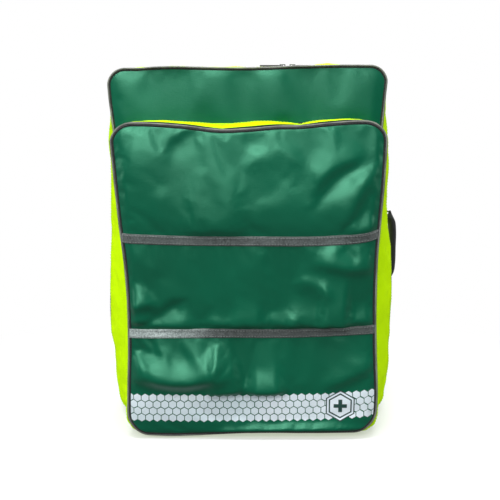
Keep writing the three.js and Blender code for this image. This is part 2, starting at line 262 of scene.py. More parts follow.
# The side wall's widest line, along the main zip.
ZIP_RIGHT = through((0, 190), (20, 198), (40, 202), (60, 204.5), (115, 206.5), (199, 208), (255, 204.5),
                    (290, 198), (328, 197), (378, 197), (430, 192), (455, 187), (475, 182), (500, 178))
ZIP_LEFT = through((0, -186), (20, -193), (55, -198.5), (80, -200.5), (106, -202), (125, -205.5),
                   (150, -206.5), (197, -205), (260, -201.5), (345, -199), (400, -199), (440, -196.5),
                   (460, -193), (478, -187), (500, -183))
POCKET_RIGHT = through((5, 172), (57, 173.6), (127, 170.5), (196, 168.7), (263, 169.8), (288, 171.5),
                       (356, 176), (415, 178.5))
POCKET_LEFT = through((5, -168), (57, -167), (127, -164.4), (196, -164.3), (263, -169), (285, -171.5),
                      (345, -176.8), (407, -181.8))
POCKET_CREST = through((-160, 429), (-140, 429), (-90, 426), (-36, 420.5), (0, 422), (35, 425), (65, 425.5),
                       (102, 429), (141, 431.5), (165, 431))
POCKET_SILL = through((-160, 6), (-120, 4), (0, 8), (100, 8), (165, 9))
PINCHES = (-36, 65)  # where the top of the pocket's side wall is caught down in the seam

LID_SEAM = Loop(MAIN_HALF, 0, MAIN_TOP, 34, 24, LID_LEFT, LID_RIGHT, LID_TOP)
MAIN_GIRTH = Loop(MAIN_HALF, 0, ZIP_TOP, 25, 34, ZIP_LEFT, ZIP_RIGHT)
BACK_SEAM = Loop(MAIN_HALF, 0, MAIN_TOP, 34, 32, level(-MAIN_HALF), level(MAIN_HALF))
POCKET_SEAM = Loop(POCKET_HALF, POCKET_FOOT, POCKET_TOP, 32, 28, POCKET_LEFT, POCKET_RIGHT, POCKET_CREST,
                   POCKET_SILL)
POCKET_GIRTH = Loop(POCKET_HALF, POCKET_FOOT, POCKET_ZIP_TOP, 20, 32, wider(POCKET_LEFT, -3),
                    wider(POCKET_RIGHT, 4))
POCKET_ROOT = Loop(POCKET_HALF, POCKET_FOOT, POCKET_TOP - 3, 34, 32, wider(POCKET_LEFT, -1),
                   wider(POCKET_RIGHT, 1))

# ---------------------------------------------------------------- materials


class Nodes:
    """A node tree whose inputs are fed with numbers, colours or other nodes' outputs."""

    def __init__(self, owner):
        owner.use_nodes = True
        self.tree = owner.node_tree

    def node(self, kind, inputs=None, **settings):
        made = self.tree.nodes.new(kind)
        for key, value in settings.items():
            setattr(made, key, value)
        for key, value in (inputs or {}).items():
            self.feed(made.inputs[key], value)
        return made

    def feed(self, socket, value):
        if isinstance(value, bpy.types.NodeSocket):
            self.tree.links.new(value, socket)
        else:
            socket.default_value = value


class Shader(Nodes):
    """A material, with short calls for what the materials here share."""

    def __init__(self, name):
        self.material = bpy.data.materials.new(name)
        super().__init__(self.material)
        self.bsdf = self.tree.nodes["Principled BSDF"]
        self.coords = self.tree.nodes.new("ShaderNodeTexCoord").outputs["Object"]

    def set(self, **inputs):
        """Feeds the surface's inputs, named with underscores for spaces."""
        for key, value in inputs.items():
            self.feed(self.bsdf.inputs[key.replace("_", " ")], value)

    def math(self, operation, a, b):
        return self.node("ShaderNodeMath", {0: a, 1: b}, operation=operation).outputs[0]

    def times(self, value, factor, plus=None):
        """A value times a factor, with something added."""
        made = self.math("MULTIPLY", value, factor)
        return made if plus is None else self.math("ADD", made, plus)

    def noise(self, scale, detail=3.0, roughness=0.5, coords=None):
        inputs = {"Vector": coords or self.coords, "Scale": scale, "Detail": detail, "Roughness": roughness}
        return self.node("ShaderNodeTexNoise", inputs).outputs["Fac"]

    def scaled(self, x, y, z):
        return self.node("ShaderNodeMapping", {"Vector": self.coords, "Scale": (x, y, z)}).outputs["Vector"]

    def smooth_step(self, value, low, high, start=0.0):
        """From start at low to 1 at high, smoothly."""
        inputs = {"Value": value, "From Min": low, "From Max": high, "To Min": start}
        return self.node("ShaderNodeMapRange", inputs, interpolation_type="SMOOTHSTEP").outputs["Result"]

    def specks(self, scale, detail, roughness, low, high):
        """White patches on black where a noise rises from low to high."""
        return self.ramp(self.noise(scale, detail, roughness), (low, (0, 0, 0)), (high, (1, 1, 1)))

    def ramp(self, value, *stops):
        made = self.node("ShaderNodeValToRGB", {"Fac": value})
        elements = made.color_ramp.elements
        while len(elements) < len(stops):
            elements.new(0.5)
        for element, (place, colour) in zip(elements, stops):
            element.position = place
            element.color = (*colour, 1)
        return made.outputs["Color"]

    def bands(self, pitch_mm, axis):
        """Fine parallel ribs, this far apart in millimetres, that repeat along an axis of the frame."""
        inputs = {"Vector": self.coords, "Scale": 2 * math.pi / (20 * pitch_mm * MM), "Distortion": 0.0}
        settings = {"wave_type": "BANDS", "wave_profile": "SIN", "bands_direction": axis}
        return self.node("ShaderNodeTexWave", inputs, **settings).outputs["Fac"]

    def bump(self, height, strength, distance_mm, normal=None):
        inputs = {"Height": height, "Strength": strength, "Distance": distance_mm * MM}
        if normal is not None:
            inputs["Normal"] = normal
        return self.node("ShaderNodeBump", inputs).outputs["Normal"]

    def mix(self, factor, a, b):
        made = self.node("ShaderNodeMix", data_type="RGBA")
        self.feed(made.inputs[0], factor)
        self.feed(made.inputs[6], a if isinstance(a, bpy.types.NodeSocket) else (*a, 1))
        self.feed(made.inputs[7], b if isinstance(b, bpy.types.NodeSocket) else (*b, 1))
        return made.outputs[2]


def linear(red, green, blue):
    """A colour given as it's seen on a screen, 0 to 255, turned into the linear values that Blender wants."""
    share = np.array([red, green, blue]) / 255
    return tuple(np.where(share <= 0.04045, share / 12.92, ((share + 0.055) / 1.055) ** 2.4).tolist())


def tinted(colour, times, plus=0.0):
    """A lighter or darker colour."""
    return tuple(min(1, times * c + plus) for c in colour)


def weave(shader, pitch_mm, axes="XZ"):
    """Crossing threads: the product of two sets of ribs."""
    return shader.math("MULTIPLY", shader.bands(pitch_mm, axes[0]), shader.bands(pitch_mm, axes[1]))


def coated_green():
    s = Shader("green_coated_polyester")
    tone = s.noise(9, 3)
    base = s.ramp(tone, (0.3, linear(0, 75, 52)), (0.7, linear(0, 84, 59)))
    fine = s.noise(420, 2)
    crumple = s.noise(55, 4, 0.55)
    slub = s.noise(1.0, 2, 0.6, s.scaled(160, 160, 950))
    normal = s.bump(weave(s, 1.1), 0.12, 0.20)
    normal = s.bump(slub, 0.26, 0.30, normal)
    normal = s.bump(s.noise(520, 2, 0.6), 0.16, 0.25, normal)
    normal = s.bump(crumple, 0.10, 1.6, normal)
    roughness = s.math("ADD", s.times(fine, 0.08, s.times(s.noise(14, 2), 0.10)), 0.25)
    s.set(Base_Color=base, Roughness=roughness, Normal=normal)
    s.set(Specular_IOR_Level=0.75, Specular_Tint=(0.34, 1.0, 0.66, 1))
    return s.material


def hi_vis_yellow():
    s = Shader("hi_vis_polyester")
    tone = s.noise(11, 3)
    base = s.ramp(tone, (0.25, (0.42, 0.70, 0.0)), (0.75, (0.50, 0.80, 0.0)))
    soil = s.specks(160, 5, 0.7, 0.55, 0.8)
    base = s.mix(s.times(soil, 0.10), base, (0.30, 0.45, 0.01))
    normal = s.bump(weave(s, 1.0, "XY"), 0.25, 0.25)
    normal = s.bump(weave(s, 1.0, "YZ"), 0.25, 0.25, normal)
    normal = s.bump(s.noise(70, 3), 0.25, 1.0, normal)
    normal = s.bump(s.noise(20, 4, 0.55), 0.6, 6.0, normal)
    s.set(Base_Color=base, Roughness=0.80, Normal=normal, Specular_IOR_Level=0.08)
    # Painted glow: the cloth gives off its own colour as light, so the yellow stays bright where shade falls.
    s.set(Emission_Color=base, Emission_Strength=0.27)
    return s.material


def webbing_cloth(name, dark, light, rib_axis, rib_mm=1.7, roughness=0.85, speckle=0.35, glare_end=None):
    """Woven webbing: ribs across its length, thread speckle and lighter spots of wear. Its last argument
    gives two places along X in millimetres, between which the webbing lightens towards a pale grey: a painted
    reflection."""
    s = Shader(name)
    ribs = s.bands(rib_mm, rib_axis)
    threads = s.noise(520, 2, 0.7)
    blend = s.times(ribs, 1 - speckle, s.times(threads, speckle))
    base = s.ramp(blend, (0.36, dark), (0.66, light))
    wear = s.specks(26, 4, 0.6, 0.5, 0.8)
    base = s.mix(s.times(wear, 0.2), base, tinted(light, 1.7, 0.02))
    # Painted reflection: between the two places the webbing lightens to a pale grey, as where glare falls on
    # it.
    if glare_end:
        x = s.node("ShaderNodeSeparateXYZ", {"Vector": s.coords}).outputs["X"]
        glare_share = s.smooth_step(x, glare_end[0] * MM, glare_end[1] * MM)
        glare_colour = s.ramp(blend, (0.36, tinted(dark, 6)), (0.66, tinted(light, 5.2)))
        base = s.mix(glare_share, base, glare_colour)
    normal = s.bump(ribs, 0.55, 0.5)
    normal = s.bump(threads, 0.35, 0.3, normal)
    s.set(Base_Color=base, Roughness=roughness, Normal=normal, Sheen_Weight=0.2)
    return s.material


def rubbed_cord(name, dark, light):
    s = Shader(name)
    tone = s.noise(40, 4)
    base = s.ramp(tone, (0.3, dark), (0.75, light))
    weave_bump = s.bump(s.noise(700, 2), 0.3, 0.3)
    s.set(Base_Color=base, Roughness=s.times(tone, 0.25, 0.38), Normal=weave_bump)
    return s.material


def air_mesh(name, dark, light):
    """Spacer mesh: rows of small round holes in a knitted face."""
    cell_mm = 3.2
    s = Shader(name)
    scale = 1 / (cell_mm * MM)
    cells = s.node("ShaderNodeTexVoronoi", {"Vector": s.coords, "Scale": scale, "Randomness": 0.25})
    hole = s.ramp(cells.outputs["Distance"], (0.18, (0, 0, 0)), (0.42, (1, 1, 1)))
    base = s.mix(hole, dark, light)
    tone = s.noise(30, 3)
    base = s.mix(s.times(tone, 0.35), base, tinted(light, 1.8, 0.004))
    normal = s.bump(hole, 0.8, 0.8)
    s.set(Base_Color=base, Roughness=0.95, Normal=normal, Sheen_Weight=0.35)
    return s.material


def lining_cloth():
    s = Shader("lining_polyester")
    base = s.ramp(s.noise(16, 3), (0.3, linear(34, 38, 40)), (0.7, linear(52, 57, 59)))
    normal = s.bump(weave(s, 1.4), 0.4, 0.3)
    normal = s.bump(s.noise(45, 4), 0.3, 1.5, normal)
    s.set(Base_Color=base, Roughness=0.62, Normal=normal, Sheen_Weight=0.1)
    return s.material


def moulded_plastic(name, colour):
    s = Shader(name)
    tone = s.noise(60, 3)
    base = s.mix(s.times(tone, 0.5), colour, tinted(colour, 1.9, 0.006))
    normal = s.bump(s.noise(1100, 2), 0.18, 0.15)
    s.set(Base_Color=base, Roughness=s.times(tone, 0.22, 0.34), Normal=normal)
    return s.material


def blackened_metal():
    s = Shader("blackened_zinc")
    tone = s.noise(120, 4)
    base = s.ramp(tone, (0.35, linear(58, 60, 60)), (0.8, linear(120, 122, 118)))
    normal = s.bump(s.noise(600, 3), 0.15, 0.2)
    s.set(Base_Color=base, Metallic=0.9, Roughness=s.times(tone, 0.3, 0.25), Normal=normal)
    return s.material


def reflective_film(name, dark, light):
    """Silver glass-bead film: a fine sparkle under a smooth face, a little cracked and rubbed."""
    s = Shader(name)
    beads = s.noise(2600, 1)
    patch = s.noise(10, 2)
    base = s.ramp(s.times(patch, 0.75, s.times(beads, 0.25)), (0.3, dark), (0.65, light))
    rub = s.specks(90, 5, 0.7, 0.62, 0.74)
    base = s.mix(s.times(rub, 0.3), base, linear(110, 130, 125))
    s.set(Base_Color=base, Roughness=0.42, Metallic=0.1, Normal=s.bump(beads, 0.2, 0.1))
    return s.material


def thread(name, colour):
    s = Shader(name)
    twist = s.noise(1500, 2)
    base = s.mix(twist, tinted(colour, 0.55), colour)
    s.set(Base_Color=base, Roughness=0.6, Normal=s.bump(twist, 0.4, 0.2))
    return s.material


def pale_floor():
    """A matte floor near the bag that fades to plain white further away, so that it has no horizon."""
    s = Shader("studio_floor")
    tone = s.ramp(s.noise(3, 2), (0.3, (0.86, 0.86, 0.86)), (0.7, (0.9, 0.9, 0.9)))
    away = s.node("ShaderNodeVectorMath", {0: s.coords}, operation="LENGTH").outputs["Value"]
    fade = s.smooth_step(away, 0.24, 0.62, 0.4)
    # Only the camera sees it pale. In the cloth's sheen it's a dim floor, so the cloth keeps its depth.
    seen = s.node("ShaderNodeLightPath").outputs["Is Camera Ray"]
    base = s.mix(seen, (0.16, 0.16, 0.16), s.mix(fade, tone, (0, 0, 0)))
    glow = s.math("MULTIPLY", fade, seen)
    s.set(Base_Color=base, Roughness=0.9, Specular_IOR_Level=0.0)
    s.set(Emission_Color=(1, 1, 1, 1), Emission_Strength=glow)
    return s.material


GREEN = coated_green()
YELLOW = hi_vis_yellow()
GREY_DARK, GREY_LIGHT = linear(36, 41, 41), linear(100, 107, 105)
GREY_BAND = webbing_cloth("grey_webbing", GREY_DARK, GREY_LIGHT, "X", 1.5, speckle=0.75)
# The lower band's webbing has a painted reflection that lightens it towards its left end.
GREY_BAND_GLARED = webbing_cloth("grey_webbing_painted_glare", GREY_DARK, GREY_LIGHT, "X", 1.5, speckle=0.75,
                               glare_end=(-40, -115))
GREY_BINDING = webbing_cloth("grey_binding", linear(58, 62, 62), linear(104, 108, 106), "X", 1.4)
BLACK_DARK, BLACK_LIGHT = linear(14, 15, 16), linear(44, 46, 48)
BLACK_BAND_Z = webbing_cloth("black_webbing_upright", BLACK_DARK, BLACK_LIGHT, "Z", 1.9)
BLACK_SLEEVE = webbing_cloth("black_sleeve", linear(7, 8, 9), linear(24, 26, 28), "Z", 1.9)
BLACK_BAND_X = webbing_cloth("black_webbing_level", BLACK_DARK, BLACK_LIGHT, "X", 1.9)
BLACK_TAPE = webbing_cloth("black_zip_tape", linear(16, 17, 18), linear(36, 38, 40), "Y", 1.2)
# A black tape that is partly painted shade: it also stands in for the shadow in the gap just inside the
# piping.
SEAM_TAPE_AND_SHADE = webbing_cloth("black_seam_tape_and_painted_shade", linear(5, 7, 7), linear(16, 19, 18), "Z", 1.2, 0.9)
PIPING = rubbed_cord("grey_piping", linear(78, 81, 76), linear(140, 142, 133))
MESH_BLACK = air_mesh("black_air_mesh", linear(8, 8, 9), linear(46, 49, 51))
NYLON = webbing_cloth("black_nylon", linear(18, 19, 21), linear(38, 40, 43), "X", 0.9, 0.7, 0.5)
LINING = lining_cloth()
PLASTIC = moulded_plastic("black_acetal", linear(24, 24, 26))
METAL = blackened_metal()
COIL = moulded_plastic("zip_coil", linear(30, 31, 32))
FILM = reflective_film("reflective_film", linear(192, 211, 216), linear(234, 243, 250))
INK = moulded_plastic("badge_ink", linear(22, 56, 50))
PALE_THREAD = thread("pale_grey_thread", linear(150, 158, 155))
BLACK_THREAD = thread("black_thread", linear(60, 62, 64))
YELLOW_THREAD = thread("yellow_thread", linear(200, 230, 40))
GREEN_THREAD = thread("green_thread", linear(24, 96, 72))
BOARD = lining_cloth()

# ---------------------------------------------------------------- mesh helpers


def build_mesh(name, points, faces, materials, smooth=True, face_materials=None):
    """A mesh object from points in millimetres."""
    mesh = bpy.data.meshes.new(name)
    mesh.from_pydata((np.asarray(points, float) * MM).tolist(), [], [tuple(map(int, f)) for f in faces])
    for material in materials if isinstance(materials, (list, tuple)) else [materials]:
        mesh.materials.append(material)
    mesh.polygons.foreach_set("use_smooth", [smooth] * len(mesh.polygons))
    if face_materials is not None:
        mesh.polygons.foreach_set("material_index", np.asarray(face_materials, np.int32))
    mesh.validate()
    mesh.update()
    obj = bpy.data.objects.new(name, mesh)
    bpy.context.scene.collection.objects.link(obj)
    return obj


def read_points(mesh):
    """A mesh's points in metres, one row each."""
    points = np.empty(len(mesh.vertices) * 3)
    mesh.vertices.foreach_get("co", points)
    return points.reshape(-1, 3)


def move_points(mesh, points):
    mesh.vertices.foreach_set("co", points.ravel())
    mesh.update()


def grid_faces(rows, columns, closed=False, flip=False):
    """Quads over a grid of points held row by row. Closed joins the last column to the first."""
    last = columns if closed else columns - 1
    row, column = np.meshgrid(np.arange(rows - 1), np.arange(last), indexing="ij")
    after = (column + 1) % columns
    quads = np.stack([row * columns + column, row * columns + after, (row + 1) * columns + after,
                      (row + 1) * columns + column], -1).reshape(-1, 4)
    return quads[:, ::-1] if flip else quads


def apply_modifiers(obj):
    """Replaces the mesh by what its modifiers make of it."""
    evaluated = obj.evaluated_get(bpy.context.evaluated_depsgraph_get())
    made = bpy.data.meshes.new_from_object(evaluated)
    obj.modifiers.clear()
    obj.data = made
    return obj


def thicken(obj, thickness, offset=-1.0, inner=False, rim=1):
    """Gives a sheet its thickness. Inner uses the second material for the lining side, and rim says which
    material its cut edge has."""
    solid = obj.modifiers.new("thickness", "SOLIDIFY")
    solid.thickness = thickness * MM
    solid.offset = offset
    solid.use_even_offset = True
    if inner:
        solid.material_offset = 1
        solid.material_offset_rim = rim
    return apply_modifiers(obj)


def sheet(name, points, materials, thickness, closed=False, flip=False, offset=-1.0, inner=False, rim=1):
    """A soft sheet from a grid of points, rows by columns by xyz."""
    rows, columns = points.shape[:2]
    faces = grid_faces(rows, columns, closed, flip)
    obj = build_mesh(name, points.reshape(-1, 3), faces, materials)
    return thicken(obj, thickness, offset, inner, rim)


def subdivide(obj, levels=1):
    made = obj.modifiers.new("smooth", "SUBSURF")
    made.levels = levels
    made.render_levels = levels
    return apply_modifiers(obj)


def sweep(centres, section, across, up, closed=False):
    """Points and faces of a section (n by 2) carried along centres on the directions across and up."""
    rings = centres[:, None] + across[:, None] * section[None, :, :1] + up[:, None] * section[None, :, 1:]
    return tube(rings, closed)


def tube(rings, closed=False):
    """Points and faces of a skin over rings of points, with flat ends, or closed into a loop."""
    count, around = rings.shape[:2]
    points = rings.reshape(-1, 3)
    faces = grid_faces(count + closed, around, True)
    if closed:
        return points, (faces % len(points)).tolist()
    ends = [list(range(around))[::-1], list(range((count - 1) * around, count * around))]
    return points, faces.tolist() + ends


def frame_along(centres, across, closed=False):
    """Unit across and up directions square to a path, from a rough across direction."""
    if closed:
        along = unit(np.roll(centres, -1, 0) - np.roll(centres, 1, 0))
    else:
        along = unit(np.gradient(centres, axis=0))
    across = np.broadcast_to(np.asarray(across, float), centres.shape)
    across = unit(across - (across * along).sum(-1, keepdims=True) * along)
    return across, np.cross(along, across)


def ribbon_section(width, thick):
    """A flat webbing section with eased edges and a slightly fuller selvedge."""
    rounding = 0.35
    w, t = width / 2, thick / 2
    edge = t * (1 - rounding)
    half = [(-w, -edge), (-w + t, -t), (-w * 0.5, -t * 0.9), (w * 0.5, -t * 0.9), (w - t, -t), (w, -edge)]
    return np.array(half + [(-x, -y) for x, y in half])


def ribbon(name, centres, across, width, thick, material):
    """A length of webbing along a path."""
    centres = np.asarray(centres, float)
    across, up = frame_along(centres, across)
    points, faces = sweep(centres, ribbon_section(width, thick), across, up)
    return build_mesh(name, points, faces, material)


def round_section(radius, sides=10):
    """A circle's points."""
    angle = np.linspace(0, 2 * math.pi, sides, endpoint=False)
    return np.stack([np.cos(angle), np.sin(angle)], 1) * radius


def squared_section(sides, powers):
    """A unit circle's points, squared off by a power below 1 in each direction."""
    circle = round_section(1, sides)
    return np.sign(circle) * np.abs(circle) ** powers


def join(name, objects, smooth=True):
    """Joins objects into one piece, keeping their materials."""
    points, faces, marks, materials = [], [], [], []
    base = 0
    for obj in objects:
        mesh = obj.data
        matrix = np.array(obj.matrix_world)
        points.append((read_points(mesh) @ matrix[:3, :3].T + matrix[:3, 3]) / MM)
        slots = []
        for material in mesh.materials:
            if material not in materials:
                materials.append(material)
            slots.append(materials.index(material))
        for polygon in mesh.polygons:
            faces.append([base + i for i in polygon.vertices])
            marks.append(slots[polygon.material_index])
        base += len(mesh.vertices)
        bpy.data.objects.remove(obj)
    return build_mesh(name, np.vstack(points), faces, materials, smooth, marks)


def keep(obj, body, slot, *nodes):
    """Sets a finished piece on its body and hides the CAD nodes that it stands for. Its slot argument is not
    used.
    """
    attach(obj, body)
    if nodes:
        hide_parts(*nodes)


def simulate(obj, pinned, frames, bending, tension, cap, pressure=0.0, gravity=0.0, slack=0.0):
    """Lets a sheet settle as cloth with some points held. No point moves more than cap millimetres."""
    scene = bpy.context.scene
    group = obj.vertex_groups.new(name="held")
    group.add(np.flatnonzero(pinned).tolist(), 1.0, "REPLACE")
    before = read_points(obj.data)
    cloth = obj.modifiers.new("cloth", "CLOTH")
    settings = cloth.settings
    settings.quality = 6
    settings.mass = 0.4
    settings.tension_stiffness = tension
    settings.compression_stiffness = tension
    settings.shear_stiffness = tension / 3
    settings.bending_stiffness = bending
    settings.tension_damping = 15
    settings.compression_damping = 15
    settings.air_damping = 4
    settings.vertex_group_mass = "held"
    settings.pin_stiffness = 1.0
    settings.shrink_min = -slack
    if pressure:
        settings.use_pressure = True
        settings.uniform_pressure_force = pressure
    settings.effector_weights.gravity = gravity
    cloth.collision_settings.use_self_collision = False
    cloth.point_cache.frame_start = 1
    cloth.point_cache.frame_end = frames
    for number in range(1, frames + 1):
        scene.frame_set(number)
    after = read_points(obj.evaluated_get(bpy.context.evaluated_depsgraph_get()).data)
    obj.modifiers.remove(cloth)
    scene.frame_set(1)
    move = after - before
    size = np.linalg.norm(move, axis=1, keepdims=True)
    limit = cap * MM
    move *= limit * np.tanh(size / limit) / np.maximum(size, 1e-12)
    move_points(obj.data, before + move)
    obj.vertex_groups.clear()


class Surface:
    """A piece's face as a height over the XZ plane, for laying trim on it. Side -1 is the piece's front."""

    def __init__(self, obj, side=-1):
        vertices = [vertex.co.copy() for vertex in obj.data.vertices]
        self.tree = BVHTree.FromPolygons(vertices, [tuple(p.vertices) for p in obj.data.polygons])
        self.side = side

    def lay(self, x, z, lift=0.0):
        """Points on the surface, raised by lift along its normal, and the normals."""
        places, normals = [], []
        start, inwards = self.side * 0.4, Vector((0, -self.side, 0))
        for a, b in zip(np.ravel(x), np.ravel(z)):
            hit, normal, _, _ = self.tree.ray_cast(Vector((a * MM, start, b * MM)), inwards)
            if hit is None:
                hit, normal, _, _ = self.tree.find_nearest(Vector((a * MM, self.side * 0.1, b * MM)))
            if normal.y * self.side < 0:
                normal = -normal
            places.append(np.array(hit) / MM + np.array(normal) * lift)
            normals.append(np.array(normal))
        return np.array(places), np.array(normals)


def arcs(name, starts, ends, normals, radius, material):
    """Short thick threads, each a low arc from a start to an end on a surface."""
    height = 0.9
    shares = np.array([0.0, 0.18, 0.5, 0.82, 1.0])
    lift = np.array([-0.4, 0.6, 1.0, 0.6, -0.4]) * radius * height
    thin = np.array([0.45, 0.95, 1.0, 0.95, 0.45])
    centre = starts[:, None] + (ends - starts)[:, None] * shares[None, :, None]
    along = unit(ends - starts)[:, None]
    across = np.broadcast_to(unit(np.cross(along, normals[:, None])), centre.shape)
    normal = np.broadcast_to(normals[:, None], centre.shape)
    centre = centre + normal * lift[None, :, None]
    section = round_section(radius, 6)
    rings = (centre[:, :, None] + across[:, :, None] * section[:, :1] * thin[None, :, None, None]
             + normal[:, :, None] * section[:, 1:] * thin[None, :, None, None])
    points, one = tube(rings[0])
    faces = [[i * len(points) + v for v in face] for i in range(len(starts)) for face in one]
    return build_mesh(name, rings.reshape(-1, 3), faces, material)


def stitches(name, path, normals, material, length, gap, radius):
    """A run of thread stitches along a path on a surface."""
    path = np.asarray(path, float)
    normals = np.broadcast_to(np.asarray(normals, float), path.shape)
    run = np.r_[0, np.cumsum(np.linalg.norm(np.diff(path, axis=0), axis=1))]
    count = max(1, int(run[-1] / (length + gap)))
    first = np.arange(count) * (length + gap) + gap / 2

    def along(values, where):
        return np.stack([np.interp(where, run, values[:, k]) for k in range(3)], -1)

    normal = unit(along(normals, first + length / 2))
    return arcs(name, along(path, first), along(path, first + length), normal, radius, material)


def box_stitch(name, centre, right, up, width, height, material):
    """The square with a cross that holds webbing down, round a centre, with its sides along right and up."""
    centre, right, up = (np.asarray(v, float) for v in (centre, right, up))
    normal = np.cross(right, up)
    signs = ((-1, -1), (1, -1), (1, 1), (-1, 1))
    corners = [centre + right * width / 2 * a + up * height / 2 * b for a, b in signs]
    order = (0, 1, 2, 3, 0, 2, 3, 1)
    runs = [np.linspace(corners[a], corners[b], 12) for a, b in zip(order, order[1:])]
    made = [stitches("run", path, normal, material, 2.2, 0.9, 0.32) for path in runs]
    return join(name, made)


# ---------------------------------------------------------------- side walls, zips and piping
CLEAR = 0.9  # the bag's own cloth stays this far off the floor, and the hinge cloth fits under it
LOOP_LENGTH = 1500  # about a loop's length, which turns places into millimetres for the wrinkles


class Wall:
    """A side wall that swells from a seam loop out to a girth loop, measured by place round the loop and
    depth y. Crumple is the height of its wrinkles, lip the height of the padded roll beside the zip, brow
    what the roll gains near the top right corner, and crest an added rise along the top."""

    def __init__(self, seam, seam_y, girth, girth_y, crumple, seed, floor=CLEAR, crest=None, lip=1.5,
                 power=1.0, brow=0.0, sill=None):
        self.seam, self.seam_y, self.girth, self.girth_y = seam, seam_y, girth, girth_y
        self.crumple, self.waves, self.floor, self.crest = crumple, Waves(seed, 60), floor, crest
        self.fine = Waves(seed + 1, 24)
        self.lip, self.power, self.brow, self.sill = lip, power, brow, sill

    def at(self, place, y, lift=0.0):
        """Points on the wall, raised by lift."""
        place, y = np.broadcast_arrays(np.asarray(place, float), np.asarray(y, float))
        share = np.clip((y - self.seam_y) / (self.girth_y - self.seam_y), 0, 1)
        reach = np.sin(share * math.pi / 2) ** self.power
        inner, outer = self.seam.at(place), self.girth.at(place)
        point = inner + (outer - inner) * reach[..., None]
        way = unit(self.seam.outward(place) + self.girth.outward(place))
        belly = np.sin(share * math.pi)
        run = place * LOOP_LENGTH
        rise = self.crumple * belly * (self.waves(run, y * 1.4) + 0.45 * self.fine(run, y * 1.4))
        gather = self.corner_gather(place)
        rise = rise + 0.9 * gather * np.sin(run * 0.42) * np.sin(np.clip(share * 1.6, 0, 1) * math.pi)
        from_zip = np.abs(y - self.girth_y)
        above = np.maximum(way[..., 1], 0) ** 4 * np.exp(-(((point[..., 0] - 110) / 24) ** 2))
        rise = rise + (self.lip + self.brow * above) * np.exp(-(((from_zip - 20) / 9) ** 2))
        if self.crest is not None:
            rise = rise + self.crest(point[..., 0], share) * np.maximum(way[..., 1], 0)
        point = point + way * (rise + lift)[..., None]
        foot = self.floor
        if self.sill is not None:
            # Near the seam the cloth stays above the piping, whose height along the foot is the sill.
            foot = foot + np.maximum(self.sill(point[..., 0]) - 0.8 - foot, 0) * (1 - share)
        z = np.maximum(point[..., 1], foot - np.minimum(lift, 0))
        return np.stack([point[..., 0], y, z], -1)

    @staticmethod
    def corner_gather(place):
        """1 at the corners, where the cloth is gathered into the seam, and 0 away from them."""
        near = [np.exp(-(((np.mod(place, 1) - corner) / 0.018) ** 2)) for corner in Loop.CORNERS]
        return sum(near)

    def normal(self, place, y):
        """The directions square to the wall, facing out."""
        here = self.at(place, y)
        along = self.at(np.asarray(place) + 2e-4, y) - here
        deep = self.at(place, np.asarray(y) + 0.5) - here
        made = unit(np.cross(deep, along))
        way = self.seam.outward(place)
        facing = made[..., 0] * way[..., 0] + made[..., 2] * way[..., 1]
        return made * np.sign(facing)[..., None]


def scallops(x, share):
    """The top of the pocket's side wall puffs up between the places where it is caught in the seam."""
    ends = (-163, *PINCHES, 156)
    x = np.asarray(x, float)
    puff = np.zeros(x.shape)
    for start, end, height in zip(ends, ends[1:], (5.0, 5.5, 6.0)):
        u = np.clip((x - start) / (end - start), 0, 1)
        puff = puff + height * np.sin(u * math.pi) ** 0.55 * ((x > start) & (x < end))
    return puff * np.sin(share * math.pi) ** 0.6


# The side wall stops this far short of its zip's line, where its padded roll covers the tape.
MAIN_COVER = 12.2
POCKET_COVER = 10.2
# From the plane of a panel's seam: where its cloth lies, its piping's middle, and where its side wall starts.
PANEL_LIFT = 0.6
CORD_LIFT = -0.4
WALL_START = 1.6
CORD_RADIUS = 1.15

LID_WALL = Wall(LID_SEAM, LID_FACE - 1, MAIN_GIRTH, MAIN_ZIP, 1.5, 11, brow=4.6)
REAR_WALL = Wall(BACK_SEAM, BACK_FACE - 1, MAIN_GIRTH, MAIN_ZIP, 1.2, 23, power=0.75)
POCKET_CLEAR = POCKET_FOOT - 1
DOOR_WALL = Wall(POCKET_SEAM, POCKET_FACE + 0.5, POCKET_GIRTH, POCKET_ZIP, 0.7, 31, POCKET_CLEAR, scallops,
                 lip=0.6, sill=POCKET_SILL)
ROOT_WALL = Wall(POCKET_ROOT, LID_FACE - 2.4, POCKET_GIRTH, POCKET_ZIP, 0.6, 37, POCKET_CLEAR, lip=0.5)


def wall_cloth(name, wall, y_seam, y_edge, thickness):
    """The padded side wall all round a compartment, from its panel's seam to the edge over the zip tape."""
    around, deep = 620, 26
    share = np.linspace(0, 1, deep)[:, None]
    place = np.linspace(0, 1, around, endpoint=False)[None]
    points = wall.at(place + 0 * share, y_seam + (y_edge - y_seam) * share)
    return sheet(name, points, [YELLOW, LINING], thickness, closed=True, flip=y_edge > y_seam, inner=True)


def zip_half(name, wall, y_edge, y_coil, top_height):
    """One half of a zip: its tape, its coil, and the stitches that hold the cloth down beside it."""
    start = wall.girth.place_at_height(top_height, 1)
    end = wall.girth.place_at_height(top_height, -1)
    place = np.linspace(start, end, 520)
    side = np.sign(y_edge - y_coil)
    under = y_edge + side * 7
    rows = np.linspace(under, y_coil, 7)[:, None]
    points = wall.at(place[None] + 0 * rows, rows, -0.9)
    tape = sheet("tape", points, BLACK_TAPE, 0.9, flip=side < 0)
    parts = [tape]
    pitch, tooth = 2.2, 2.3
    path = wall.at(place, y_coil, -0.3)
    count = int(np.linalg.norm(np.diff(path, axis=0), axis=1).sum() / pitch)
    spots = np.linspace(start, end, count)
    normal = wall.normal(spots, y_coil + side * 2)
    starts = wall.at(spots, y_coil + side * (tooth + 1.1), -0.35)
    ends = wall.at(spots, y_coil + side * 0.1, -0.35)
    parts.append(arcs("coil", starts, ends, normal, 0.8, COIL))
    edge = wall.at(place, y_edge + side * 3.2, 0.05)
    edge_normal = wall.normal(place, y_edge + side * 3.2)
    parts.append(stitches("topstitch", edge, edge_normal, YELLOW_THREAD, 3.0, 1.3, 0.36))
    return join(name, parts)


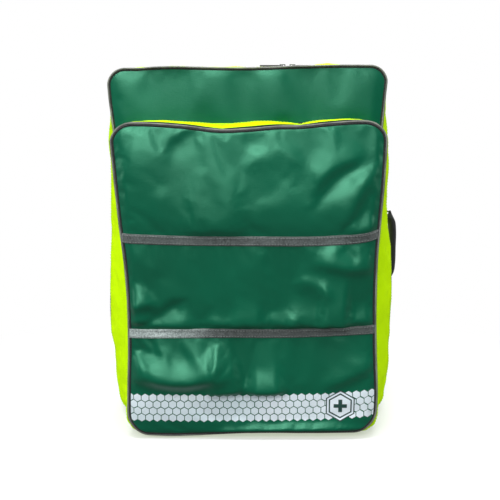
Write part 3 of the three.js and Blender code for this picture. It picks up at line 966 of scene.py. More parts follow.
def cord_ring(name, loop, y, radius):
    """Piping: a covered cord in a seam loop."""
    inset = 1.05
    place = np.linspace(0, 1, 720, endpoint=False)
    flat = loop.at(place, inset)
    wobble = Waves(int(radius * 10) + int(abs(y)), 40)
    centres = at_depth(flat, y + 0.25 * wobble(place * LOOP_LENGTH, 0 * place))
    across = at_depth(loop.outward(place), 0)
    _, up = frame_along(centres, across, True)
    points, faces = sweep(centres, round_section(radius, 12), across, up, True)
    return build_mesh(name, points, faces, PIPING)


def seam_band(name, loop, surface, inset, width, lift, material, thread_material):
    """A narrow tape sewn flat just inside the piping, with its row of stitches."""
    place = np.linspace(0, 1, 560, endpoint=False)
    rows = []
    for share in (0.0, 0.5, 1.0):
        flat = loop.at(place, inset + width * share)
        points, _ = surface.lay(flat[:, 0], flat[:, 1], lift + 0.25 * (share == 0.5))
        rows.append(points)
    tape = sheet("tape", np.stack(rows), material, 0.6, closed=True, offset=0)
    flat = loop.at(place, inset + width * 0.55)
    path, normals = surface.lay(flat[:, 0], flat[:, 1], lift + 0.55)
    sewn = stitches("sewn", path, normals, thread_material, 2.4, 1.4, 0.3)
    return join(name, [tape, sewn])


def hinge_cloth(name, front_wall, rear_wall, reach, top_height):
    """The cloth below the ends of a zip, to this reach from the zip each way."""
    start = front_wall.girth.place_at_height(top_height, -1) - 1
    end = front_wall.girth.place_at_height(top_height, 1)
    place = np.linspace(start, end, 300)
    middle = front_wall.girth_y

    def laid(y, lift, floor):
        wall = front_wall if y < middle else rear_wall
        points = wall.at(place, y, lift)
        points[:, 2] = np.maximum(points[:, 2], front_wall.floor + floor)
        return points, wall.normal(place, y)

    rows = [laid(y, 0.75, -0.7)[0] for y in np.linspace(middle - reach, middle + reach, 25)]
    parts = [sheet("cloth", np.stack(rows), [YELLOW, LINING], 1.2, flip=True, inner=True, rim=0)]
    for y in (middle - reach + 2.5, middle + reach - 2.5):
        parts.append(stitches("run", *laid(y, 0.8, -0.65), YELLOW_THREAD, 3.0, 1.3, 0.34))
    return join(name, parts)


def half_wall(compartment, half, wall, cover, y_seam, thickness, body, cloth_node, tape_node):
    """Half of a compartment's side wall with its half of the zip, in front of the zip or behind it."""
    way = -1 if half == "front" else 1
    y_edge = wall.girth_y + way * cover
    cloth = wall_cloth(f"{compartment}_{half}_gusset", wall, y_seam, y_edge, thickness)
    keep(cloth, body, "yellow_side", cloth_node)
    zipped = zip_half(f"{compartment}_zip_{half}", wall, y_edge, wall.girth_y + way * 0.15, HINGE_TOP)
    keep(zipped, body, "black_webbing", tape_node)


def hinge(compartment, front_wall, rear_wall, reach, rise):
    """The cloth hinge below a compartment's zip, over this spread each side of the zip's line."""
    cloth = hinge_cloth(f"{compartment}_hinge_cloth", front_wall, rear_wall, reach, HINGE_TOP + rise)
    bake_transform(cloth)


# ---------------------------------------------------------------- panels


def fold(x, z, path, above, below, height):
    """A fold of cloth along a path. The cloth falls away from the path over one distance on the path's left,
    which is above it as the path runs to +X, and over another on its right, and it fades out at both ends. A
    negative height makes a valley."""
    line = spline(path, 48)
    along = unit(np.gradient(line, axis=0))
    offset = np.stack([x, z], -1)[..., None, :] - line
    nearest = np.argmin((offset**2).sum(-1), -1)
    offset = np.take_along_axis(offset, nearest[..., None, None], -2)[..., 0, :]
    along = along[nearest]
    away = along[..., 0] * offset[..., 1] - along[..., 1] * offset[..., 0]
    share = nearest / (len(line) - 1)
    fade = ease(share, 0, 0.35) * ease(1 - share, 0, 0.35)
    reach = np.linalg.norm(offset, axis=-1)
    return height * fade * np.exp(-((reach / np.where(away > 0, above * (0.4 + 0.6 * fade), below)) ** 2))


def panel_patch(loop, columns, rows, face, outward, relief):
    """A panel's grid: the loop's patch, raised by relief(x, z) in millimetres and held flat at its edge."""
    flat = loop.patch(1.0, columns, rows)
    x, z = flat[..., 0], flat[..., 1]
    u, v = np.linspace(0, 1, columns)[None], np.linspace(0, 1, rows)[:, None]
    held = ease(np.minimum(u, 1 - u), -0.01, 0.05) * ease(np.minimum(v, 1 - v), -0.01, 0.02)
    return np.stack([x, face + outward * relief(x, z) * held, z], -1)


# How far the pocket's cloth swells forward at each height.
POCKET_SWELL = through((5, 3.4), (10, 4.6), (22, 5.2), (50, 6.4), (84, 6.2), (110, 5.4), (134, 3.4),
                       (150, 3.0), (165, 4.4), (215, 8), (262, 10.5), (276, 9.5), (300, 11.5), (332, 12),
                       (350, 11.2), (385, 8), (412, 5.2), (428, 2.8))

# Each fold of the pocket's cloth: its path, how far it reaches above and below the path, and its height.
POCKET_FOLDS = (
    # top left: a raised corner, and a tuck under the place where the side wall is caught down
    (((-172, 388), (-150, 384), (-126, 385), (-104, 391)), 24, 34, 2.8),
    (((-112, 388), (-96, 399), (-74, 411), (-52, 415)), 9, 16, -2.4),
    (((-16, 411), (6, 402), (20, 397), (38, 404)), 12, 9, -1.2),
    # the wide column of sheen left of the middle, and the upright wave at its left
    (((-100, 287), (-64, 290), (-30, 290), (4, 287)), 50, 7, 5.4),
    (((-116, 286), (-117, 318), (-112, 352)), 10, 10, 1.3),
    # the dome right of the middle
    (((-8, 352), (6, 380), (26, 391), (46, 390), (63, 377), (73, 352)), 12, 20, 3.0),
    # the pleats at the right
    (((68, 336), (84, 352), (106, 371), (132, 383), (162, 389)), 22, 9, 4.4),
    (((84, 312), (98, 338), (120, 362), (146, 378)), 10, 12, -2.6),
    (((112, 280), (124, 302), (138, 333), (152, 360), (162, 384)), 18, 10, 5.2),
    (((120, 286), (146, 289), (176, 301)), 16, 6, 4.8),
    # middle part: top right, then the streak, then the puffs over the lower webbing
    (((76, 252), (104, 244), (132, 239), (178, 243)), 24, 8, 6.0),
    (((120, 270), (130, 258), (146, 250)), 7, 9, -1.8),
    (((50, 216), (76, 220), (96, 210), (112, 192)), 9, 12, 3.4),
    (((84, 161), (110, 162), (140, 160)), 50, 5, 13.0),
    (((-190, 188), (-154, 188), (-118, 196)), 22, 8, 9.0),
    (((-190, 166), (-156, 166), (-128, 172)), 21, 5, 9.0),
    (((-144, 160), (-122, 173), (-100, 187), (-78, 198)), 8, 17, -6.0),
    (((-150, 160), (-108, 161), (-66, 160)), 24, 5, 6.5),
    (((-64, 161), (-38, 162), (-10, 161)), 12, 4, 3.4),
    (((-34, 161), (-4, 162), (28, 161)), 24, 5, 6.8),
    (((14, 161), (42, 163), (70, 161)), 18, 5, 5.6),
    (((42, 161), (74, 162), (108, 161)), 27, 5, 7.4),
    (((120, 163), (150, 166), (182, 164)), 15, 5, 5.2),
    # foot: the hook of sheen at the left, the patches at its right and the roll along the bottom
    (((-190, 96), (-150, 90), (-98, 86), (-50, 90), (-4, 98)), 46, 12, 11.0),
    (((-160, 122), (-148, 104), (-126, 90), (-98, 84), (-70, 88), (-50, 104), (-42, 126), (-42, 150)),
     17, 11, 5.8),
    (((-170, 127), (-144, 125), (-112, 119)), 6, 9, -3.2),
    (((-116, 122), (-94, 114), (-74, 124)), 16, 9, -2.2),
    (((-66, 69), (-34, 70), (0, 74)), 50, 6, 11.0),
    (((-14, 71), (22, 70), (58, 73)), 28, 6, 12.0),
    (((86, 76), (112, 82), (140, 94), (176, 116)), 18, 9, 4.6),
    (((-154, 144), (-147, 132), (-143, 120)), 4, 4, -2.2),
    (((-136, 144), (-130, 133), (-126, 124)), 4, 4, -2.0),
    (((-90, 9), (20, 11), (90, 13), (190, 16)), 9, 5, 6.2),
)


POCKET_WAVES = Waves(5, 90)
POCKET_CRUMPLE = Waves(6, 28)
LID_WAVES = Waves(8, 110)
LID_SWELL = through((0, 0), (40, 1), (400, 1.0), (425, 2.6), (440, 2.9), (460, 2.5), (482, 1.6), (503, 0))


def pocket_relief(x, z):
    """The front pocket's cloth: its swell, its folds and small random waves."""
    rise = POCKET_SWELL(z) * (1 - 0.25 * (x / 175) ** 2)
    for path, above, below, height in POCKET_FOLDS:
        rise = rise + fold(x, z, path, above, below, height)
    return rise + 0.25 * POCKET_WAVES(x, z) + 0.12 * POCKET_CRUMPLE(x, z)


def lid_relief(x, z):
    """The main panel is flat behind the pocket, and swells with faint upright waves above it."""
    upright = 0.9 * np.sin(x / 17 + 1.3 * np.sin(x / 43) + z / 90) * ease(z, 405, 440)
    return LID_SWELL(z) + (upright + 0.4 * LID_WAVES(x, z)) * ease(z, 380, 440) + 0.2 * LID_WAVES(x, z)


def back_relief(x, z):
    return 0.6 + 0.35 * LID_WAVES(x, z)


def front_panel(name, loop, face, relief, columns, rows, pinned_rows=(), thickness=2.6, slack=0.006):
    """A front panel of coated cloth, settled under its own weight with its edge and sewn lines held."""
    grid = panel_patch(loop, columns, rows, face + PANEL_LIFT, -1, relief)
    obj = build_mesh(name, grid.reshape(-1, 3), grid_faces(rows, columns), [GREEN, LINING])
    row, column = np.divmod(np.arange(rows * columns), columns)
    pinned = (row < 2) | (row >= rows - 2) | (column < 2) | (column >= columns - 2)
    height = grid[..., 2].reshape(-1)
    for held in pinned_rows:
        pinned |= np.abs(height - held) < 7
    simulate(obj, pinned, frames=16, bending=8.0, tension=40.0, cap=1.4, gravity=0.03, slack=slack)
    subdivide(obj)
    return thicken(obj, thickness, -1.0, True)


# The height of each band of webbing across the pocket.
UPPER_BAND = through((-172, 279), (-120, 277), (0, 275.5), (110, 276.5), (150, 280), (172, 285))
LOWER_BAND = through((-168, 149), (-60, 150), (60, 150), (168, 155))
SEWN_HEIGHTS = (276, 150)  # the pocket's cloth is held near these heights, under the bands
BAND_WIDTH = span("webbing_band_upper")[1][2] - span("webbing_band_upper")[0][2]


def webbing_band(name, loop, surface, height, material):
    """A band of ribbed webbing, sewn across a panel along both edges, with its ends under the piping."""
    middle = height(0)
    left = loop.at(loop.place_at_height(middle, -1), 2.6)[0]
    right = loop.at(loop.place_at_height(middle, 1), 2.6)[0]
    x = np.linspace(left, right, 180)
    offsets = np.array([-1.0, -0.93, -0.5, 0, 0.5, 0.93, 1.0]) * BAND_WIDTH / 2
    lifts = (0.2, 1.2, 1.35, 1.3, 1.35, 1.2, 0.2)
    rows = np.stack([surface.lay(x, height(x) + offset, lift)[0] for offset, lift in zip(offsets, lifts)])
    rows[:, :, 1] = np.minimum(rows[:, :, 1], rows[3, :, 1] + 1.6)
    band = sheet("band", rows, material, 1.0, offset=-1)
    parts = [band]
    for side in (-1, 1):
        offset = side * (BAND_WIDTH / 2 - 2.0)
        path, normals = surface.lay(x, height(x) + offset, 1.5)
        path[:, 1] = np.minimum(path[:, 1], rows[3, :, 1] + 0.15)
        parts.append(stitches("sewn", path, normals, PALE_THREAD, 2.3, 1.5, 0.33))
    return join(name, parts)


def hexagon_corners(radius):
    """A hexagon that stands on a corner."""
    angle = np.radians(30 + np.arange(6) * 60)
    return np.stack([np.cos(angle), np.sin(angle)], 1) * radius


def laid_shape(name, rings, surface, lift, thick, material, filled=True):
    """A thin shape laid on a surface: closed outlines from its edge inwards, its middle filled or open."""
    count = len(rings[0])
    flat = np.vstack(rings)
    if filled:
        flat = np.vstack([flat, rings[-1].mean(0)])
    top, normals = surface.lay(flat[:, 0], flat[:, 1], lift + thick)
    skirt = top[:count] - normals[:count] * (thick + 0.15)
    points = np.vstack([top, skirt])
    following = (np.arange(count) + 1) % count
    faces = []
    for ring in range(len(rings) - 1):
        base = ring * count
        faces += [[base + i, base + j, base + count + j, base + count + i] for i, j in enumerate(following)]
    if filled:
        base, middle = (len(rings) - 1) * count, len(rings) * count
        faces += [[base + i, base + j, middle] for i, j in enumerate(following)]
    base = len(top)
    faces += [[base + i, base + j, j, i] for i, j in enumerate(following)]
    return build_mesh(name, points, faces, material, smooth=False)


def fine_outline(corners, step=2.0):
    """A closed outline with extra points along its edges."""
    made = []
    for here, after in zip(corners, np.roll(corners, -1, 0)):
        count = max(1, int(np.linalg.norm(after - here) / step))
        made.append(here + (after - here) * (np.arange(count) / count)[:, None])
    return np.vstack(made)


# The reflective band is rows of hexagons about a line, and a badge takes the place of some of them.
HEX_PITCH = 10.6
HEX_ROW = 9.45
HEX_FLAT = 9.6
HEX_ROWS = 4
HEX_COLUMNS = range(-17, 18)
BADGE = (122.5, 48.6)
BADGE_RADIUS = 22.5
BAND_LINE = through((-165, 46.5), (-60, 45.7), (0, 45.7), (60, 46.3), (110, 48.1), (165, 52.6))


def reflective_hexagons(name, loop, surface):
    """Rows of reflective hexagons printed across the foot of the front pocket."""
    cells = []
    corners = fine_outline(hexagon_corners(HEX_FLAT / math.sqrt(3)), 2.7)
    for row in range(HEX_ROWS):
        for column in HEX_COLUMNS:
            x = (column + (row % 2) * 0.5) * HEX_PITCH + 1.0
            z = float(BAND_LINE(x)) + (row - (HEX_ROWS - 1) / 2) * HEX_ROW
            edge = loop.at(loop.place_at_height(z, np.sign(x) or 1), 4.6)[0]
            if abs(x) - HEX_FLAT * 0.3 > abs(edge):
                continue
            if math.hypot(x - BADGE[0], z - BADGE[1]) < BADGE_RADIUS * 0.62:
                continue
            cell = corners + (x, z)
            cell[:, 0] = np.clip(cell[:, 0], -abs(edge), abs(edge))
            rings = [cell, cell.mean(0) + (cell - cell.mean(0)) * 0.5]
            cells.append(laid_shape("cell", rings, surface, 0.1, 0.22, FILM))
    return join(name, cells, False)


def badge(name, surface):
    """A plain hexagonal badge with a plus sign in two outlines. It stands for no maker."""

    def layer(outline, inner, lift, thick, material, filled=True):
        outline = fine_outline(outline)
        if filled:
            rings = [outline * share for share in np.linspace(1, 0.12, 7)]
        else:
            rings = [outline, outline * inner]
        return laid_shape("layer", [ring + BADGE for ring in rings], surface, lift, thick, material, filled)

    arm, reach = 2.6, 9.0
    plus = [(-arm, -reach), (arm, -reach), (arm, -arm), (reach, -arm), (reach, arm), (arm, arm), (arm, reach),
            (-arm, reach), (-arm, arm), (-reach, arm), (-reach, -arm), (-arm, -arm)]
    parts = [
        layer(hexagon_corners(BADGE_RADIUS), 0, 0.1, 0.3, INK),
        layer(hexagon_corners(BADGE_RADIUS * 0.92), 0, 0.4, 0.12, FILM),
        layer(hexagon_corners(BADGE_RADIUS * 0.80), 0.88, 0.5, 0.12, INK, False),
        layer(np.array(plus), 0, 0.5, 0.12, INK),
    ]
    return join(name, parts, False)


# ---------------------------------------------------------------- the bag's own pieces
def build_front_pocket():
    """The pocket's door: everything in front of its zip."""
    panel = front_panel("pocket_front_panel", POCKET_SEAM, POCKET_FACE, pocket_relief, 100, 122, SEWN_HEIGHTS)
    surface = Surface(panel)
    keep(panel, "pocket_door", "green_panel", "pocket_panel")
    half_wall("pocket", "front", DOOR_WALL, POCKET_COVER, POCKET_FACE + WALL_START, 2.0, "pocket_door",
              "pocket_front_side_wall", "pocket_zip_front_tape")
    cord = cord_ring("pocket_front_piping", POCKET_SEAM, POCKET_FACE + CORD_LIFT, CORD_RADIUS)
    keep(cord, "pocket_door", "grey_piping", "pocket_piping")
    # The black tape inside the piping is partly painted shade, standing in for the shadow in the seam's gap.
    band = seam_band("pocket_seam_tape_and_shade", POCKET_SEAM, surface, 2.0, 3.0, 0.15, SEAM_TAPE_AND_SHADE, BLACK_THREAD)
    keep(band, "pocket_door", "black_webbing")
    upper = webbing_band("pocket_webbing_upper", POCKET_SEAM, surface, UPPER_BAND, GREY_BAND)
    keep(upper, "pocket_door", "grey_webbing", "webbing_band_upper")
    # Its webbing carries a painted reflection, lighter towards its left end.
    lower = webbing_band("pocket_webbing_lower", POCKET_SEAM, surface, LOWER_BAND, GREY_BAND_GLARED)
    keep(lower, "pocket_door", "grey_webbing", "webbing_band_lower")
    hexagons = reflective_hexagons("reflective_hexagons", POCKET_SEAM, surface)
    keep(hexagons, "pocket_door", "reflective_film", "reflective_band")
    keep(badge("hexagonal_badge", surface), "pocket_door", "reflective_film", "badge_plate")


def build_pocket_root():
    """The pocket's side wall behind its zip, which is sewn to the lid, and the cloth hinge under the zip."""
    half_wall("pocket", "rear", ROOT_WALL, POCKET_COVER, LID_FACE - 2.8, 2.0, "lid", "pocket_rear_side_wall",
              "pocket_zip_rear_tape")
    hinge("pocket", DOOR_WALL, ROOT_WALL, 15, 9)


def build_lid():
    """The main compartment's front half: everything in front of the main zip."""
    panel = front_panel("main_front_panel", LID_SEAM, LID_FACE, lid_relief, 64, 84, thickness=2.4,
                        slack=0.004)
    surface = Surface(panel)
    keep(panel, "lid", "green_panel", "lid_panel")
    half_wall("main", "front", LID_WALL, MAIN_COVER, LID_FACE + WALL_START, 2.6, "lid", "lid_side_wall",
              "main_zip_lid_tape")
    cord = cord_ring("main_front_piping", LID_SEAM, LID_FACE + CORD_LIFT, CORD_RADIUS)
    keep(cord, "lid", "grey_piping", "lid_piping")
    # The black tape inside the piping is partly painted shade, standing in for the shadow in the seam's gap.
    band = seam_band("main_seam_tape_and_shade", LID_SEAM, surface, 2.0, 2.2, 0.15, SEAM_TAPE_AND_SHADE, BLACK_THREAD)
    keep(band, "lid", "black_webbing")


def build_rear():
    """The main compartment's back half, and the cloth hinge under the main zip."""
    half_wall("main", "rear", REAR_WALL, MAIN_COVER, BACK_FACE - WALL_START, 2.6, "shell", "rear_side_wall",
              "main_zip_rear_tape")
    cord = cord_ring("back_seam_piping", BACK_SEAM, BACK_FACE + 0.2, 2.0)
    keep(cord, "shell", "grey_piping", "back_piping")
    grid = panel_patch(BACK_SEAM, 60, 80, BACK_FACE - 0.8, 1, back_relief)
    panel = sheet("back_cloth", grid, [NYLON, LINING], 2.4, flip=True, inner=True)
    surface = Surface(panel, 1)
    keep(panel, "shell", "black_mesh", "back_panel")
    band = seam_band("back_seam_tape", BACK_SEAM, surface, 3.8, 9.0, 0.3, BLACK_BAND_X, PALE_THREAD)
    keep(band, "shell", "black_webbing")
    hinge("main", LID_WALL, REAR_WALL, 24, 11)


def build_mesh_pocket():
    """The slack net pocket inside the lid, and the binding of its mouth."""
    low, high = span("lid_mesh_pocket")
    columns, rows = 46, 34
    u, v = np.meshgrid(np.linspace(0, 1, columns), np.linspace(0, 1, rows))
    slack = np.sin(u * math.pi) ** 0.6 * np.sin(v * math.pi * 0.62) * 5.5
    ripple = 0.8 * np.sin(u * 31 + 1.5 * np.sin(v * 5)) * v
    grid = np.stack([low[0] + (high[0] - low[0]) * u, low[1] + 0.4 + slack + ripple * np.sin(u * math.pi),
                     low[2] + (high[2] - low[2]) * v], -1)
    net = sheet("inner_mesh_pocket", grid, MESH_BLACK, 0.9, flip=True, offset=0)
    keep(net, "lid", "black_mesh", "lid_mesh_pocket")
    low, high = span("mesh_pocket_binding")
    x = np.linspace(low[0], high[0], 120)
    share = (x - low[0]) / (high[0] - low[0])
    y = low[1] + 0.9 + np.sin(share * math.pi) ** 0.6 * 5.2 + 0.5 * np.sin(share * 150)
    path = np.stack([x, y, 0 * x + (low[2] + high[2]) / 2], 1)
    strip = ribbon("strip", path, (0, 0, 1), high[2] - low[2], 1.4, GREY_BINDING)
    runs = [stitches("run", path + (0, 0.8, dz), (0, 1, 0), PALE_THREAD, 2.6, 1.3, 0.32) for dz in (-6, 6)]
    keep(join("inner_pocket_binding", [strip, *runs]), "lid", "grey_webbing", "mesh_pocket_binding")


def build_kit_bands():
    """Two bands of elastic inside the back, each sewn down at intervals so that it makes a row of loops."""
    loop_count = 6
    for name in ("lower", "upper"):
        low, high = span("kit_band_" + name)
        x = np.linspace(low[0], high[0], 260)
        share = (x - low[0]) / (high[0] - low[0])
        loops = np.abs(np.sin(share * math.pi * loop_count)) ** 0.8
        path = np.stack([x, high[1] - 0.6 - 5.5 * loops, 0 * x + (low[2] + high[2]) / 2], 1)
        strap = ribbon("strap", path, (0, 0, 1), high[2] - low[2], 1.3, BLACK_BAND_X)
        parts = [strap]
        for x_seam in np.linspace(low[0] + 2, high[0] - 2, loop_count + 1):
            seam = np.linspace((x_seam, high[1] - 1.6, low[2] + 2), (x_seam, high[1] - 1.6, high[2] - 2), 20)
            parts.append(stitches("seam", seam, (0, -1, 0), PALE_THREAD, 2.0, 0.9, 0.4))
        keep(join("kit_loops_" + name, parts), "shell", "black_webbing", "kit_band_" + name)


# ---------------------------------------------------------------- padding


def cushion(name, outline, base_y, thickness, columns, rows):
    """A closed padded form of air mesh with a flat back on base_y, which swells as simulated cloth.
    outline(u, v) gives its (x, z)."""
    edge_thickness, crown = 3.0, 0.75
    u, v = np.meshgrid(np.linspace(-1, 1, columns), np.linspace(-1, 1, rows))
    x, z = outline(u, v)
    edge = np.minimum(1 - np.abs(u), 1 - np.abs(v))
    dome = ease(edge, -0.02, 0.35) * (thickness - edge_thickness) * crown
    front = np.stack([x, base_y + edge_thickness + dome, z], -1).reshape(-1, 3)
    back = np.stack([x, base_y + 0 * x, z], -1).reshape(-1, 3)
    count = len(front)
    faces = grid_faces(rows, columns, flip=True).tolist()
    faces += (grid_faces(rows, columns) + count).tolist()
    rim = list(range(columns))
    rim += [r * columns + columns - 1 for r in range(1, rows)]
    rim += [(rows - 1) * columns + c for c in range(columns - 2, -1, -1)]
    rim += [r * columns for r in range(rows - 2, 0, -1)]
    faces += [[here, after, after + count, here + count] for here, after in zip(rim, rim[1:] + rim[:1])]
    obj = build_mesh(name, np.vstack([front, back]), faces, MESH_BLACK)
    pinned = np.r_[np.zeros(count), np.ones(count)]
    pinned[rim] = 1.0
    simulate(obj, pinned, frames=20, bending=2.0, tension=12.0, cap=4.0, pressure=2.5)
    return subdivide(obj)


def carve(obj, depth_at, direction):
    """Sinks a mesh's points along a direction by depth_at(points), in millimetres."""
    points = read_points(obj.data) / MM
    points = points + np.asarray(direction, float) * depth_at(points)[:, None]
    move_points(obj.data, points * MM)


def superellipse(u, v, half_width, half_height, centre_x, centre_z):
    """Maps the square -1 to 1 onto a rounded rectangle."""
    pull = np.sqrt(1 - 0.32 * u**2 * v**2)
    return centre_x + half_width * u * pull, centre_z + half_height * v * pull


def edge_binding(path, normals, width, material):
    """A rounded binding round a pad's edge."""
    across, up = frame_along(path, normals, True)
    points, faces = sweep(path, round_section(width / 2), across, up, True)
    return build_mesh("binding", points, faces, material)


def back_cushion(name, node, channels, columns, rows):
    """A pad on the back panel, with sewn channels across it and a bound edge."""
    low, high = span(node)
    centre, half = (low + high) / 2, (high - low) / 2
    depth = high[1] - low[1]
    base = low[1]

    def outline(u, v):
        return superellipse(u, v, half[0] - 2, half[2] - 2, centre[0], centre[2])

    pad = cushion(name, outline, base, depth, columns, rows)
    grooves = np.linspace(low[2], high[2], channels + 2)[1:-1]

    def depth_at(points):
        raised = ease(points[:, 1], base + 1.5, base + depth * 0.8)
        near = sum(np.exp(-(((points[:, 2] - z) / 4.5) ** 2)) for z in grooves)
        inside = 1 - ease(np.abs(points[:, 0] - centre[0]), half[0] - 8, half[0] - 1)
        return raised * near * inside * depth * 0.62

    carve(pad, depth_at, (0, -1, 0))
    surface = Surface(pad, 1)
    parts = [pad]
    for z in grooves:
        x = np.linspace(centre[0] - half[0] + 9, centre[0] + half[0] - 9, 60)
        path, normals = surface.lay(x, 0 * x + z, 0.1)
        parts.append(stitches("channel", path, normals, BLACK_THREAD, 2.8, 1.4, 0.4))
    turn = np.linspace(0, 1, 260, endpoint=False)
    side = np.floor(turn * 4).astype(int)
    t = (turn * 4 - side) * 2 - 1
    u = np.choose(side, [t, np.ones_like(t), -t, -np.ones_like(t)])
    v = np.choose(side, [-np.ones_like(t), t, np.ones_like(t), -t])
    path = at_depth(np.stack(outline(u, v), 1), base + 2.2)
    parts.append(edge_binding(path, (0, 1, 0), 3.6, BLACK_BAND_X))
    keep(join(name, parts), "shell", "black_mesh", node)


# The shoulder strap's padded part, in the YZ plane from its top to its foot, as in the frame.
PAD_LOW, PAD_HIGH = span("strap_right_pad")
PAD_LINE = ((85.6, PAD_HIGH[2] - 2), (97, 405), (112, 370), (122, 320), (124, 265), (117, 209))
PAD_CENTRE = through((208, 128), (265, 118), (320, 103), (370, 90), (430, 76))
STRAP_FOOT_X = 129
TAB_X = 158  # where the strap's webbing is sewn to its tab
PAD_HALF = through((208, 19), (224, 25), (240, 28), (300, 31), (385, 30), (412, 17), (430, 14))


def strap_frame(side, count):
    """Centres, across and outward directions down the padded part of a shoulder strap."""
    line = spline(PAD_LINE, count)
    x = PAD_CENTRE(line[:, 1]) * side
    centres = np.stack([x, line[:, 0], line[:, 1]], 1)
    across, up = frame_along(centres, (1, 0, 0))
    up = up * np.sign(up[:, 1:2])
    return centres, across, up


def strap_pad(side, name):
    """The padded part of a shoulder strap, with its bound edge and the webbing that carries the load."""
    rows, columns = 84, 17
    centres, across, up = strap_frame(side, rows)
    half = PAD_HALF(centres[:, 2])
    u = np.linspace(-1, 1, columns)
    end = ease(np.minimum(np.arange(rows), np.arange(rows)[::-1]), -1, 5)
    dome = (1 - np.abs(u) ** 2.6)[None] * end[:, None]
    flat = centres[:, None] + across[:, None] * (u[None, :, None] * half[:, None, None])
    lift = up[:, None] * (1.3 + 3.0 * dome)[..., None]
    ring = np.concatenate([flat + lift, (flat - lift)[:, ::-1]], 1)
    around = ring.shape[1]
    faces = grid_faces(rows, around, True, flip=side < 0).tolist()
    faces += [list(range(around)), list(range((rows - 1) * around, rows * around))[::-1]]
    pad = build_mesh("pad", ring.reshape(-1, 3), faces, MESH_BLACK)
    pinned = np.zeros((rows, around))
    pinned[:, [0, columns - 1, columns, around - 1]] = 1
    pinned[[0, -1]] = 1
    simulate(pad, pinned.ravel(), frames=16, bending=2.0, tension=12.0, cap=2.5, pressure=1.5)
    subdivide(pad)
    parts = [pad]
    edge = [centres + across * (half * way)[:, None] for way in (1, -1)]
    loop = np.vstack([edge[0], centres[-1:] + (0, -1.2, -1.2), edge[1][::-1], centres[:1] + (0, -1.2, 1.2)])
    loop = resample(np.vstack([loop, loop[:1]]), 241)[:-1]
    outward = np.cross(np.roll(loop, -1, 0) - np.roll(loop, 1, 0), (0, 1, 0))
    parts.append(edge_binding(loop, unit(outward), 4.4, BLACK_BAND_Z))
    # Webbing sewn down the outer face, which carries the load.
    run = slice(3, rows - 1)
    outer_face = centres[run] + up[run] * 4.9
    parts.append(ribbon("load_webbing", outer_face, (1, 0, 0), 25, 1.5, BLACK_BAND_Z))
    for way in (-1, 1):
        path = outer_face + across[run] * way * 10.6 + up[run] * 0.9
        parts.append(stitches("sewn", path, up[run], PALE_THREAD, 2.6, 1.4, 0.34))
    # The webbing's end passes through the adjuster's upper slot and back.
    foot = centres[-1]
    slot_z = span(f"strap_{name}_adjuster")[1][2] - 7
    ends = [foot + place for place in ((0, 4.9, 2), (side * 0.6, 3.2, -4), (0, -4, 1), (-side, -5, 16))]
    turn = [(side * STRAP_FOOT_X, 114.8, slot_z), (side * STRAP_FOOT_X, 111.4, slot_z + 1)]
    path = spline([*ends[:2], *turn, *ends[2:]], 40)
    parts.append(ribbon("end_loop", path, (1, 0, 0), 24, 1.4, BLACK_BAND_Z))
    obj = join(f"shoulder_pad_{name}", parts)
    keep(obj, f"strap_{name}", "black_mesh", f"strap_{name}_pad")


def strap_webbing(side, name):
    """The webbing from a strap's adjuster to its tab at the bag's foot."""
    _, y, z = sum(span("strap_right_adjuster")) / 2
    x = side * STRAP_FOOT_X
    path = spline([(x, y + 1.2, z - 3), (side * 129.4, y - 2.8, z - 8), (side * 131, 110.6, 172),
                   (side * 143, 101, 115), (side * 154, 85, 60), (side * TAB_X, 81.5, 44)], 90)
    strip = ribbon("strip", path, (1, 0, 0), 25, 1.6, BLACK_BAND_Z)
    turn = spline([(x, y + 1.2, z - 3), (x, y + 3.9, z + 1), (x, y + 4.2, z - 9)], 16)
    wrap = ribbon("wrap", turn, (1, 0, 0), 25, 1.5, BLACK_BAND_Z)
    obj = join(f"strap_webbing_{name}", [strip, wrap])
    keep(obj, f"strap_{name}", "black_webbing", f"strap_{name}_webbing")


def strap_tail(name):
    """The loose end of a strap's webbing, folded back and sewn so that it can't slip out."""
    low, high = span(f"strap_{name}_tail")
    x, y = (low[0] + high[0]) / 2, (low[1] + high[1]) / 2
    z = np.linspace(high[2] + 1, low[2] + 2, 60)
    share = (high[2] - z) / (high[2] - low[2])
    path = np.stack([x + 0 * z, y + 1.2 * np.sin(share * 7) * share, z], 1)
    parts = [ribbon("strip", path, (1, 0, 0), 25, 1.5, BLACK_BAND_Z)]
    turned = path[-14:] + (0, 1.5, 0)
    parts.append(ribbon("turned", turned, (1, 0, 0), 25, 1.4, BLACK_BAND_Z))
    middle = turned[7] + (0, 0.85, 0)
    parts.append(box_stitch("fold_sewn", middle, (-1, 0, 0), (0, 0, 1), 19, 17, PALE_THREAD))
    obj = join(f"strap_tail_{name}_webbing", parts)
    keep(obj, f"strap_tail_{name}", "black_webbing", f"strap_{name}_tail")


def box_corners(low, high):
    """The corners of a box seen from the front, as (x, z), from its lowest and highest corners."""
    return [(low[0], low[2]), (high[0], low[2]), (high[0], high[2]), (low[0], high[2])]


def flat_patch(name, corners, y_low, y_high, material, rounding):
    """A soft flat patch in the XZ plane with rounded corners and a crowned face towards +Y."""
    corners = np.asarray(corners, float)
    path = []
    t = np.linspace(0, 1, 5)[:, None]
    for before, here, after in zip(np.roll(corners, 1, 0), corners, np.roll(corners, -1, 0)):
        start, end = here + unit(before - here) * rounding * 2, here + unit(after - here) * rounding * 2
        path.append((1 - t) ** 2 * start + 2 * t * (1 - t) * here + t**2 * end)
    outline = np.vstack(path)
    middle = outline.mean(0)
    layers = ((y_low, 1.0), ((y_low + y_high) / 2, 1.02), (y_high - 0.3, 1.0), (y_high, 0.94),
              (y_high + 0.15, 0.6), (y_high + 0.2, 0.25))
    rings = [at_depth(middle + (outline - middle) * share, y) for y, share in layers]
    obj = build_mesh(name, *tube(np.stack(rings)), material)
    if signed_volume(obj) < 0:
        obj.data.flip_normals()
    return obj


